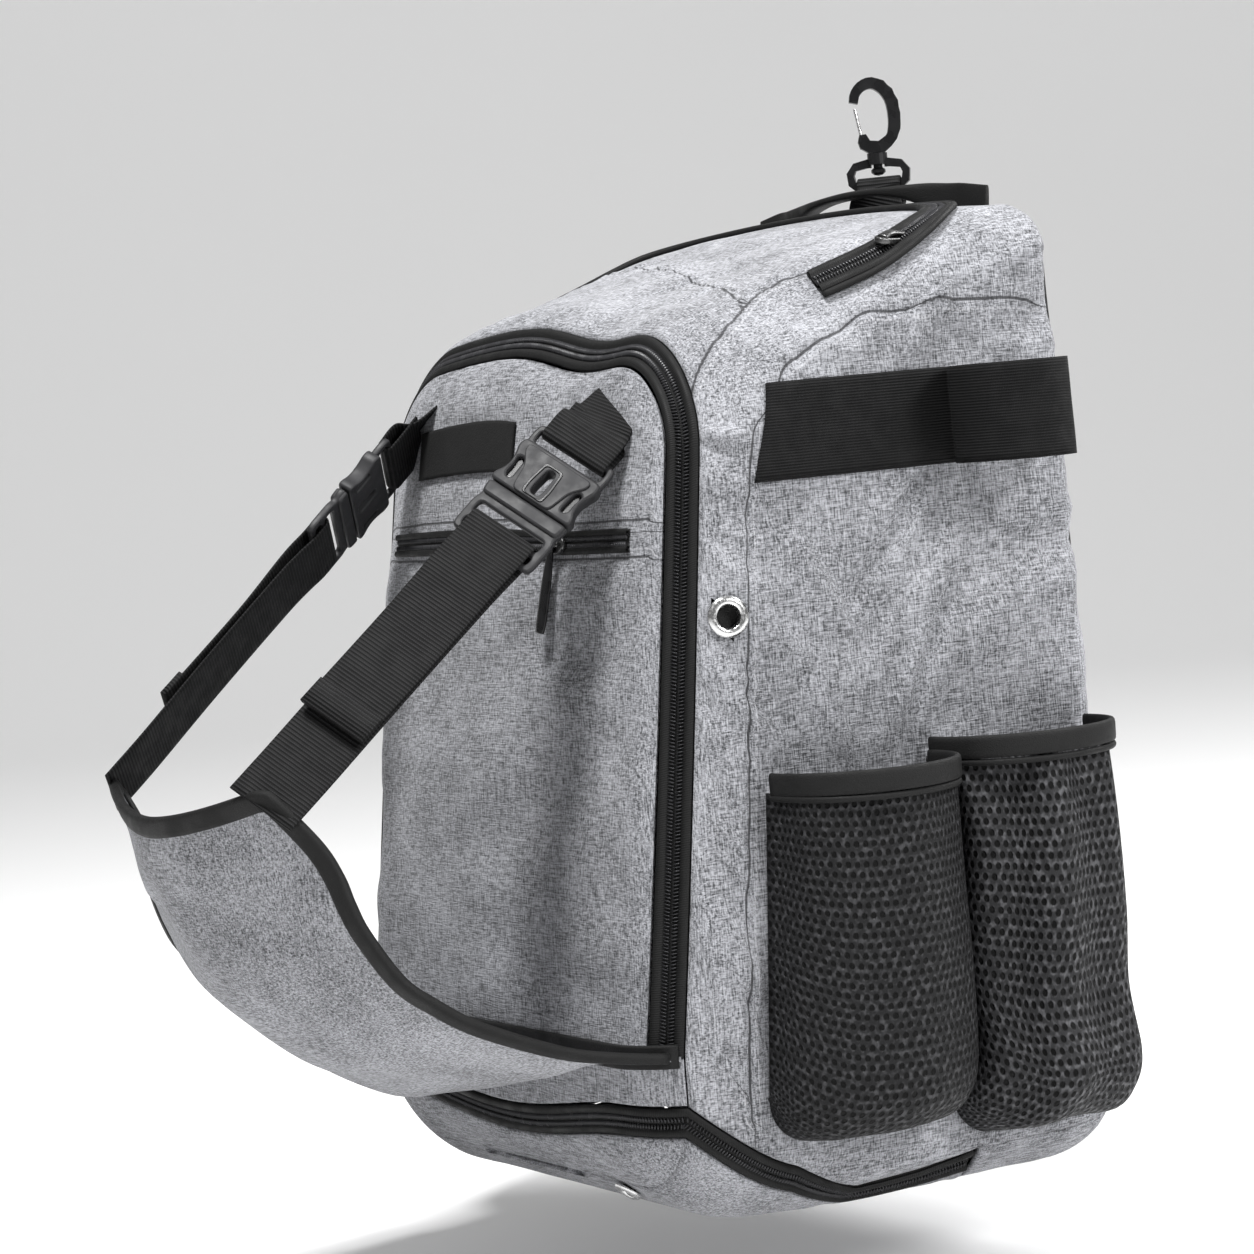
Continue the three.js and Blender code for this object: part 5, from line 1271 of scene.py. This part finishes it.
def make_straps():
    corner, anchor, along, side, face, buckle = strap_line()
    down = -np.linalg.norm(buckle - corner) - 4
    low = [
        (down, 0), (down * 0.85, -0.6), (down * 0.6, -0.3), (MALE_BAR - 40, -1), (MALE_BAR - 22, -2),
        (MALE_BAR - 10, -WEB_LIFT),
    ]
    tail = [
        (MALE_BAR - 10, WEB_LIFT), (MALE_BAR - 26, 4.2), (MALE_BAR - TAIL * 0.5, 3.0),
        (MALE_BAR - TAIL * 0.8, 3.6), (MALE_BAR - TAIL, 4.4),
    ]
    route = low + turn_round(MALE_BAR, -math.pi / 2) + tail
    reach = np.linalg.norm(anchor - buckle)
    upper = [(reach + ROOT_DEPTH, 0), (reach - 8, 0.8), (FEMALE_BAR + 12, WEB_LIFT)]
    upper += turn_round(FEMALE_BAR, math.pi / 2)
    upper += [(FEMALE_BAR + 10, -WEB_LIFT), (FEMALE_BAR + 22, -WEB_LIFT + 0.6)]
    flat = unit(np.cross(along, np.array([0, -1, 0.13])))
    flat = flat * np.sign(np.dot(flat, side))

    def at(pairs):
        return np.array([buckle + along * a + face * f for a, f in pairs])

    def one(label, mirror):
        twist = side * mirror
        path = smooth_path(at(route), 150) * mirror
        sweep(f"flap_strap_web_{label}", path, twist, STRAP, STRAP_THICK, WEBBING, [f"flap_strap_{label}"])
        hem = at([(MALE_BAR - TAIL - 0.5, 5.4), (MALE_BAR - TAIL + 14, 5.0)]) * mirror
        sweep(f"flap_strap_hem_{label}", hem, twist, STRAP + 0.6, 3.4, WEBBING)
        sides = np.array([lerp(flat, side, 0.4), lerp(flat, side, 0.6), *[side] * (len(upper) - 2)])
        path = smooth_path(at(upper), UPPER_ROWS) * mirror
        turn = smooth_path(sides, UPPER_ROWS) * mirror
        sweep(f"strap_anchor_web_{label}", path, turn, STRAP, STRAP_THICK, WEBBING, [f"strap_anchor_{label}"])

    both(one)


BUCKLE_HALF = 24
RELEASE_SLOT = [(-2.6, 4), (2.6, 4), (3.2, 8), (2.6, 19), (-2.6, 19), (-3.2, 8)]


def mirrored(half_outline):
    """An outline from its right half, listed upwards."""
    return [*half_outline, *[(-x, y) for x, y in half_outline[::-1]]]


def make_buckles():
    _, _, along, side, face, middle = strap_line()
    half = BUCKLE_HALF

    def one(label, mirror):
        seat = (middle * mirror, side * mirror, along * mirror, face * mirror)
        waist = mirrored([
            (half, 0.3), (half, 4), (21.6, 8), (21, 13), (22.4, 18), (half, 22), (half - 1, 27),
        ])
        window = [(15.2, 4.5), (19.2, 5.5), (18.8, 12), (20, 17), (15.8, 17.5)]
        windows = [window, [(-x, y) for x, y in window[::-1]]]
        plate(f"buckle_body_{label}", waist, 8.2, seat, PLASTIC, [f"buckle_female_{label}"],
              holes=[*windows, RELEASE_SLOT], bevel=1.2, round_by=3)
        cap = mirrored([(11, 1), (12.5, 8), (13.6, 14), (19, 21), (19, 25)])
        plate(f"buckle_cap_{label}", cap, 1.8, shifted(seat, (0, 0, 4.2)), PLASTIC,
              holes=[RELEASE_SLOT], bevel=0.6, round_by=3)
        inlay = mirrored([(6.2, 2), (6.6, 9), (5.4, 21)])
        bore = mirrored([(4.9, 2.6), (5.3, 9), (4.2, 19.8)])
        plate(f"buckle_inlay_{label}", inlay, 1.0, shifted(seat, (0, 0, 5.1)), GLOSS, holes=[bore],
              bevel=0.3, round_by=2)
        frame_outline = mirrored([(half - 1, 24), (half - 0.6, 33), (half - 1.6, 38)])
        slot = [(-20, 28), (20, 28), (20, 35), (-20, 35)]
        plate(f"buckle_frame_{label}", frame_outline, 3.6, seat, PLASTIC, holes=[slot], bevel=1.1,
              round_by=2.5)
        ladder = mirrored([(half - 1, -30), (half, -26), (half, -12), (22.4, -8), (half, -4), (half, -0.2)])
        slots = [[(-20, low), (20, low), (20, high), (-20, high)] for low, high in ((-27, -22), (-19, -12))]
        plate(f"buckle_ladder_{label}", ladder, 3.8, seat, PLASTIC, [f"buckle_male_{label}"], holes=slots,
              bevel=1.1, round_by=2.5)
        collar = mirrored([(half - 1.5, -8), (half - 0.6, -4), (half - 0.6, -0.3)])
        plate(f"buckle_collar_{label}", collar, 7.0, seat, PLASTIC, bevel=1.4, round_by=2.5)
        prong = [(14.6, 0), (20.4, 0), (20.6, 6), (21.4, 11), (18, 18.6), (14.8, 15)]
        for way in (1, -1):
            shape = [(x * way, y) for x, y in prong]
            plate(f"buckle_prong_{label}_{'outer' if way > 0 else 'inner'}", shape, 3.4, seat, GLOSS,
                  bevel=0.9, round_by=1.5)

    both(one)


# Hook webbing and carrying handle

HUB_LEVEL = BACK_HEIGHT + 33
HOOK_BACK = 10
LOOP_BAR = HUB_LEVEL - 6 - 11.3
BAR_WRAP = 3.9
HOOK_TURN = 45
WEB_THICK = 1.5
HOOK_WEB = 38
NARROW_WEB = 23.4
HANDLE_REACH = 104
HANDLE_RISE = 10.5
HANDLE_TALL = 24
HANDLE_DEEP = 12.5
HANDLE_FORWARD = 14
HANDLE = np.array([
    # side, up, tall, deep
    (-1, -0.55, 1.0, 0.2),
    (-0.8, -0.2, 0.95, 0.2),
    (-0.62, 0.35, 0.5, 0.5),
    (-0.3, 0.85, 0.2, 0.95),
    (0, 1.05, 0.18, 1.0),
    (0.3, 1.0, 0.2, 0.95),
    (0.55, 0.6, 0.5, 0.5),
    (0.75, -0.1, 0.95, 0.2),
    (1, -0.5, 1.0, 0.2),
])


def turned(degrees):
    return np.array([math.cos(math.radians(degrees)), math.sin(math.radians(degrees)), 0.0])


def make_hook_webbing():
    front = np.array([math.sin(math.radians(HOOK_TURN)), -math.cos(math.radians(HOOK_TURN)), 0])
    across, web, top = turned(0), turned(25), turned(HOOK_TURN)
    eye = np.array([0, HOOK_BACK, LOOP_BAR])
    stations = [
        ((0, 1.6, BACK_HEIGHT - 14.7), across, HOOK_WEB),
        ((0, 1.9, BACK_HEIGHT - 9), across, HOOK_WEB),
        ((0, 6, BACK_HEIGHT + 1), web, HOOK_WEB - 4),
        (eye + front * (BAR_WRAP + 0.4) - [0, 0, 4.5], top, NARROW_WEB),
    ]
    for a in np.linspace(0, math.pi, 5):
        round_bar = front * BAR_WRAP * math.cos(a) + [0, 0, BAR_WRAP * math.sin(a)]
        stations.append((eye + round_bar, top, NARROW_WEB))
    stations.append((eye + [0, 2.6, -5], top, NARROW_WEB + 1))
    stations.append(((0, HOOK_BACK - 0.4, BACK_HEIGHT + 1), web, NARROW_WEB + 3))
    path, side, width = (
        smooth_path(np.array([np.atleast_1d(row[i]) for row in stations], float), 90) for i in range(3)
    )
    sweep("hook_web", path, side, width[:, 0], WEB_THICK, WEBBING, ["hook_webbing"])


def make_handle():
    side, up, tall, deep = smooth_path(HANDLE, 120).T
    y = 2.3 - (deep - 0.2) * HANDLE_FORWARD
    path = np.stack([side * HANDLE_REACH, y, BACK_HEIGHT + up * HANDLE_RISE], -1)
    sweep("handle_band", path, (0, 0, 1), tall * HANDLE_TALL, deep * HANDLE_DEEP, BLACK, ["haul_handle"],
          section=PAD_SECTION)


# The padded back and the shoulder straps

PAD_THICK = 12
PAD_MARGIN = 5
CHANNELS_X = (-48, 48)
CHANNELS_Z = (150, 300)
CHANNEL_HALF = 5
CHANNEL_DEPTH = 5.5
PAD_ROUND = 11
PAD_STRAP = 64
PAD_STRAP_THICK = 11
STRAP_FOOT = 39
LOCK_REACH = 29.6
LOWER_WEB = 25
STRAP_STAND = 26
STRAP_ROUTE = np.array([
    # side, back, up
    (0.30, 0.02, 0.93),
    (0.31, 0.16, 0.905),
    (0.34, 0.62, 0.84),
    (0.37, 0.95, 0.74),
    (0.40, 1.0, 0.62),
    (0.44, 0.82, 0.50),
    (0.50, 0.55, 0.405),
])


def make_back_pad():
    o = outline(1.0)
    centre = (o["top"] + o["bottom"]) / 2
    share = 1 - 2 * PAD_MARGIN / (o["top"] - o["bottom"])
    marks = np.concatenate([np.linspace(1, 2, 18), np.linspace(2, 3, 80)[1:], np.linspace(3, 4, 18)[1:]])
    x, z = flat_point(1.0, marks)
    u = np.sin(np.linspace(-math.pi / 2, math.pi / 2, 90))
    p = place(1.0, x[:, None] * u[None], z[:, None] + 0 * u[None])
    base = np.stack([p[..., 0] * (1 - PAD_MARGIN / o["half"]), FIT + 0 * p[..., 0],
                     centre + (p[..., 2] - centre) * share], -1)
    x, z = base[..., 0], base[..., 2]
    rim = np.minimum.reduce([np.abs(x).max(1, keepdims=True) - np.abs(x), z - z.min(), z.max() - z])
    swell = np.sqrt(1 - (1 - np.clip(rim / PAD_ROUND, 0, 1)) ** 2)
    channel = sum(np.exp(-(((x - at) / CHANNEL_HALF) ** 2)) for at in CHANNELS_X)
    between_channels = np.abs(x) < CHANNELS_X[1]
    channel += sum(np.exp(-(((z - at) / CHANNEL_HALF) ** 2)) * between_channels for at in CHANNELS_Z)
    waves = 0.6 * wander(x / 22, z / 30, 91.0)
    skin = base.copy()
    thick = (PAD_THICK + waves) * swell - CHANNEL_DEPTH * np.clip(channel, 0, 1) - 0.6
    skin[..., 1] += np.maximum(1.2, thick)
    normals = np.broadcast_to(np.array([0.0, 1.0, 0.0]), skin.shape)
    fields = {"seam": 99 + 0 * x, "run": 0 * x, "along": x, "across": z}
    pad = between("back_pad_net", skin, base, normals, AIR_NET, ["back_pad"], fields)


ACROSS = np.array([1.0, 0, 0])


def strap_route():
    side, back, up = STRAP_ROUTE.T
    return np.stack([
        side * HALF_WIDTH, PAD_THICK + FIT + PAD_STRAP_THICK / 2 + 1 + back * STRAP_STAND, up * BACK_HEIGHT,
    ], -1)


def make_shoulder_straps():
    route = strap_route()
    width = np.array([PAD_STRAP * (1 - 0.03 * i) for i in range(len(route))])
    width[-1] = STRAP_FOOT
    thick = np.array([PAD_STRAP_THICK] * (len(route) - 1) + [PAD_STRAP_THICK * 0.4])
    count = 110
    path = smooth_path(route, count)
    width = smooth_path(width[:, None], count)[:, 0]
    thick = smooth_path(thick[:, None], count)[:, 0]
    foot = np.array([0.86 * HALF_WIDTH, PAD_THICK + 4, 0.09 * BACK_HEIGHT])
    down = unit(foot - route[-1])
    side = unit(ACROSS - down * down[0])
    start = route[-1] + down * LOCK_REACH
    end = np.array([foot[0], PAD_THICK + FIT + 1, foot[2] - 12])

    def one(label, mirror):
        strap = sweep(f"shoulder_pad_{label}", path * mirror, ACROSS * mirror, width - 3, thick, AIR_NET,
                      [f"shoulder_strap_{label}"], section=PAD_SECTION)
        for side_name, way in (("outer", 1), ("inner", -1)):
            line = path + ACROSS * way * (width[:, None] / 2 - 2)
            sweep(f"shoulder_edge_{label}_{side_name}", line * mirror, ACROSS, 4.0, 4.6, BLACK,
                  section=ROUND_SECTION)
        web = smooth_path(np.array([start, lerp(start, foot, 0.5), foot, end]), 60) * mirror
        sweep(f"strap_web_{label}", web, side * mirror, LOWER_WEB, WEB_THICK, WEBBING,
              [f"strap_webbing_{label}"])

    both(one)


# Pockets and bands on the sides

POCKET_SPLIT = 107
POCKET_REAR = 12
BAND_LEVEL = 380
BAND_WIDTH = 47
BAND_THICK = 1.6
BAND_STITCH = 71
BAND_BULGE = 60
BOTTLE = {
    "kind": "bottle", "net": NET, "held": "stretched", "gathers": (2.6, 3.0, 71.0),
    "low": 41, "rim": 210, "bulge": 62,
    "profile": [(0, 0), (0.02, 0.5), (0.07, 0.8), (0.16, 0.97), (0.4, 1), (0.7, 0.99), (1, 0.95)],
}
BAT = {
    "kind": "bat", "net": HANGING_NET, "held": "gathered", "gathers": (9.0, 3.6, 75.0),
    "low": 27, "rim": 216, "bulge": 60,
    "profile": [
        (0, 0), (0.03, 0.62), (0.09, 0.92), (0.18, 1.06), (0.36, 0.9), (0.55, 0.96), (0.8, 1), (1, 0.92),
    ],
}


def side_seam(z):
    return -BASE_DEPTH * lerp(0.825, 0.71, np.clip(z / BAND_LEVEL, 0, 1))


def pocket_ends(pocket, z):
    if pocket is BOTTLE:
        return side_seam(z) + 4, -POCKET_SPLIT - 2 * FIT + 0 * z
    return -POCKET_SPLIT + 2 * FIT + 0 * z, -POCKET_REAR + 0 * z


def pocket_grid(pocket, u, v, lift):
    profile = smooth_path(pocket["profile"], 160)
    u, v = np.meshgrid(u, v)
    corner = np.clip((np.abs(np.cos(math.pi * u)) - 0.5) / 0.5, 0, 1)
    low = pocket["low"] + POCKET_CORNER * (1 - np.sqrt(1 - corner**2))
    z = lerp(low, pocket["rim"], v)
    front, rear = pocket_ends(pocket, z)
    y = (front + rear) / 2 - np.cos(math.pi * u) * (rear - front) / 2
    bulge = np.interp(v, profile[:, 0], profile[:, 1])
    out = pocket["bulge"] * bulge * np.sin(math.pi * u) ** 0.75
    return np.stack([side_x(y, z) + lift + out, y, z], -1)


NET_THICK = 1.5
RIM_HEIGHT = 10
POCKET_CORNER = 24


def gathers(depth, count, seed):
    def relief(u, v, distance, along, grid):
        wide = u.max() - u.min()
        share = (u - u.min()) / wide
        level = (v - v.min()) / (v.max() - v.min())
        bend = 0.06 * wander(level * 3, share * 2, seed)
        wave = np.cos(2 * math.pi * count * (share + bend))
        wave = wave + 0.6 * wander(share * count * 1.7, level * 2.2, seed + 1)
        fade = np.clip(level / 0.25, 0, 1) * np.clip((share * (1 - share)) / 0.05, 0, 1)
        return -depth * (0.5 + 0.5 * wave) * fade * (0.5 + 0.5 * level)
    return relief


def make_pocket(pocket):
    kind = pocket["kind"]

    def one(label, mirror):
        grid = pocket_grid(pocket, np.linspace(0, 1, 64), np.linspace(0, 1, 90), NET_THICK + 2 * FIT) * mirror
        inside = np.array([HALF_WIDTH, grid[..., 1].mean(), pocket["rim"]]) * mirror
        net_piece = cloth(f"{kind}_net_{label}", grid, pocket["net"], [f"{kind}_pocket_{label}"],
                          thick=NET_THICK, relief=gathers(*pocket["gathers"]), inside=inside)
        level = 1 + RIM_HEIGHT * 0.5 / (pocket["rim"] - pocket["low"])
        rim = pocket_grid(pocket, np.linspace(0.01, 0.99, 70), [level], 3.2)[0] * mirror
        band = sweep(f"{kind}_rim_band_{label}", rim, (0, 0, 1), RIM_HEIGHT + 1, 3.4, BLACK,
                     [f"{kind}_rim_{label}"], section=fold_section())
        cord_line = pocket_grid(pocket, np.linspace(0.01, 0.99, 90), [0.985], 3.0)[0] * mirror
        sweep(f"{kind}_rim_cord_{label}", cord_line, (0, 0, 1), 3.2, 2.6, BLACK, section=ROUND_SECTION)

    both(one)


def make_pockets():
    for pocket in (BOTTLE, BAT):
        make_pocket(pocket)


LOOP_ROUTE = [
    # back, out
    (1.15, 0.22), (1.21, 0.5), (1.14, 0.78), (0.97, 0.97), (0.76, 1.0), (0.55, 0.88), (0.4, 0.6),
    (0.33, 0.28), (0.29, 0.01),
]


def band_grid():
    low = BAND_LEVEL - BAND_WIDTH / 2
    rows = []
    for z in np.linspace(low, low + BAND_WIDTH, 14):
        start = side_seam(z) + 3 + 12 * (z - low) / BAND_WIDTH
        y = np.linspace(start, -BAND_STITCH, 40)
        flat = np.stack([side_x(y, z + 0 * y) + 2 * FIT + BAND_THICK, y, z + 0 * y], -1)
        loop = [(side_x(np.array(-b * BAND_STITCH), np.array(z)) + 2 * FIT + BAND_THICK + o * BAND_BULGE,
                 -b * BAND_STITCH, z) for b, o in LOOP_ROUTE]
        loop = smooth_path(np.array([flat[-1], *loop]), 80)
        rows.append(np.concatenate([flat, loop[1:]]))
    return np.array(rows)


def make_bands():
    grid = band_grid()

    def one(label, mirror):
        inside = np.array([HALF_WIDTH, -0.7 * BAND_STITCH, BAND_LEVEL]) * mirror
        band = cloth(f"band_cloth_{label}", grid * mirror, ELASTIC, [f"elastic_band_{label}"],
                     thick=BAND_THICK, inside=inside,
                     relief=lambda u, v, d, s, g: 0.5 * wander(u / 18, v / 30, 81.0))

    both(one)


# Floor, light and camera


def material_plain(name, colour, glow):
    f = Finish(name, roughness=0.9)
    f.surface.inputs["Emission Color"].default_value = (1, 1, 1, 1)
    f.surface.inputs["Emission Strength"].default_value = glow
    cloud = f.noise(f.place(400), detail=1.0)
    f.colour(f.blend(cloud, tuple(c * 0.99 for c in colour), colour))
    return f.material


FLOOR_COLOUR = (0.8, 0.8, 0.8)
FLOOR_GLOW = 0.16
FLOOR_DROP = 45
SWEEP_RADIUS = 2.0
SWEEP_FRONT = -4.0
SWEEP_BACK = 3.5
SWEEP_TALL = 7.0
SWEEP_WIDE = 9.0


def make_stage():
    """A pale floor that sweeps up into a wall behind the bag, square to the camera."""
    level = SHELL_LOW.z - FLOOR_DROP * MM
    profile = [(SWEEP_FRONT, 0.0), (SWEEP_BACK, 0.0)]
    profile += [(SWEEP_BACK + SWEEP_RADIUS * math.sin(a), SWEEP_RADIUS * (1 - math.cos(a)))
                for a in np.linspace(0.1, math.pi / 2, 14)]
    profile.append((SWEEP_BACK + SWEEP_RADIUS, SWEEP_TALL))
    turn = math.radians(VIEW_AZIMUTH)
    away = np.array([-math.sin(turn), math.cos(turn)])
    beside = np.array([math.cos(turn), math.sin(turn)])
    points = []
    for reach, rise in profile:
        for side in (-SWEEP_WIDE, SWEEP_WIDE):
            x, y = away * reach + beside * side
            points.append((x, y, level + rise))
    mesh = bpy.data.meshes.new("studio_sweep")
    mesh.from_pydata(points, [], [tuple(f) for f in grid_faces(len(profile), 2).tolist()])
    mesh.shade_smooth()
    mesh.materials.append(material_plain("pale_floor", FLOOR_COLOUR, FLOOR_GLOW))
    floor = bpy.data.objects.new("studio_sweep", mesh)
    bpy.context.scene.collection.objects.link(floor)


VIEW_AZIMUTH = 58.0
VIEW_RISE = 4.5
VIEW_ROLL = 5.0
VIEW_DISTANCE = 2000.0
VIEW_TARGET = np.array([0, -118, 245])
FOCAL_PIXELS = 3840.0
PHOTO_PIXELS = 1254.0
TARGET_PIXEL = np.array([720.0, 693.0])
SENSOR = 36.0


def make_camera():
    a, e, r = (math.radians(v) for v in (VIEW_AZIMUTH, VIEW_RISE, VIEW_ROLL))
    back = np.array([math.sin(a) * math.cos(e), -math.cos(a) * math.cos(e), math.sin(e)])
    right = np.array([math.cos(a), math.sin(a), 0])
    up = np.cross(back, right)
    rolled_right = math.cos(r) * right - math.sin(r) * up
    rolled_up = math.sin(r) * right + math.cos(r) * up
    eye = VIEW_TARGET + back * VIEW_DISTANCE
    off = (TARGET_PIXEL - PHOTO_PIXELS / 2) / FOCAL_PIXELS * VIEW_DISTANCE
    centre = VIEW_TARGET - rolled_right * off[0] + rolled_up * off[1]
    look = unit(centre - eye)
    side = unit(np.cross(look, rolled_up))
    top = np.cross(side, look)
    camera = bpy.data.cameras.new("camera")
    camera.sensor_width = SENSOR
    camera.lens = FOCAL_PIXELS / PHOTO_PIXELS * SENSOR
    camera.clip_end = 60
    obj = bpy.data.objects.new("camera", camera)
    bpy.context.scene.collection.objects.link(obj)
    rows = np.stack([side, top, -look], 1)
    obj.matrix_world = Matrix.Translation(Vector(to_row(eye)[0])) @ Matrix(rows.tolist()).to_4x4()
    bpy.context.scene.camera = obj


LIGHTS = [
    # name, place, metres across, watts
    ("key", (500, -900, 2500), 0.7, 100),
    ("side", (2300, 500, 1500), 0.7, 46),
    ("rim", (300, 1500, 1700), 1.2, 40),
]
LIGHT_TARGET = (0, -118, 240)
SKY = 0.3


def area_light(name, at, size, power):
    light = bpy.data.lights.new(name, "AREA")
    light.shape = "DISK"
    light.size = size
    light.energy = power
    obj = bpy.data.objects.new(name, light)
    bpy.context.scene.collection.objects.link(obj)
    where = Vector(to_row(at)[0])
    obj.location = where
    obj.rotation_euler = (Vector(to_row(LIGHT_TARGET)[0]) - where).to_track_quat("-Z", "Y").to_euler()


def make_light():
    for light in LIGHTS:
        area_light(*light)
    world = bpy.data.worlds.new("studio")
    world.use_nodes = True
    background = world.node_tree.nodes["Background"]
    background.inputs["Color"].default_value = (1, 1, 1, 1)
    background.inputs["Strength"].default_value = SKY
    bpy.context.scene.world = world
    bpy.context.scene.view_settings.view_transform = "Standard"


def dress_nodes():
    """Carries over the hard CAD nodes with eased edges and their own finish."""
    slots = {part["node"]: part["material_slot"] for part in frame["record"]["subparts"]}
    for name, obj in frame["nodes"].items():
        mesh = obj.data
        mesh.materials.clear()
        mesh.materials.append(SLOTS[slots[name]][0])
        if slots[name] in ("plastic", "metal"):
            mesh.shade_smooth()
            mesh.set_sharp_from_angle(angle=math.radians(38))
            ease_edges(obj)
        if name in ("snap_hook", "swivel_base"):
            mesh.materials[0] = GLOSS


def ease_edges(obj, width=0.45):
    bevel = obj.modifiers.new("ease", "BEVEL")
    bevel.width = width * MM
    bevel.segments = 2
    bevel.limit_method = "ANGLE"
    bevel.angle_limit = math.radians(32)


for make in (
    make_camera, make_light, make_stage, make_body, make_front, make_shoe_panel, make_front_zipper,
    make_shoe_zipper, make_grommets, make_slit, make_patch, make_hem, make_top_zipper, make_flap,
    make_straps, make_buckles, make_hook_webbing, make_handle, make_back_pad, make_shoulder_straps,
    make_pockets, make_bands, dress_nodes,
):
    make()
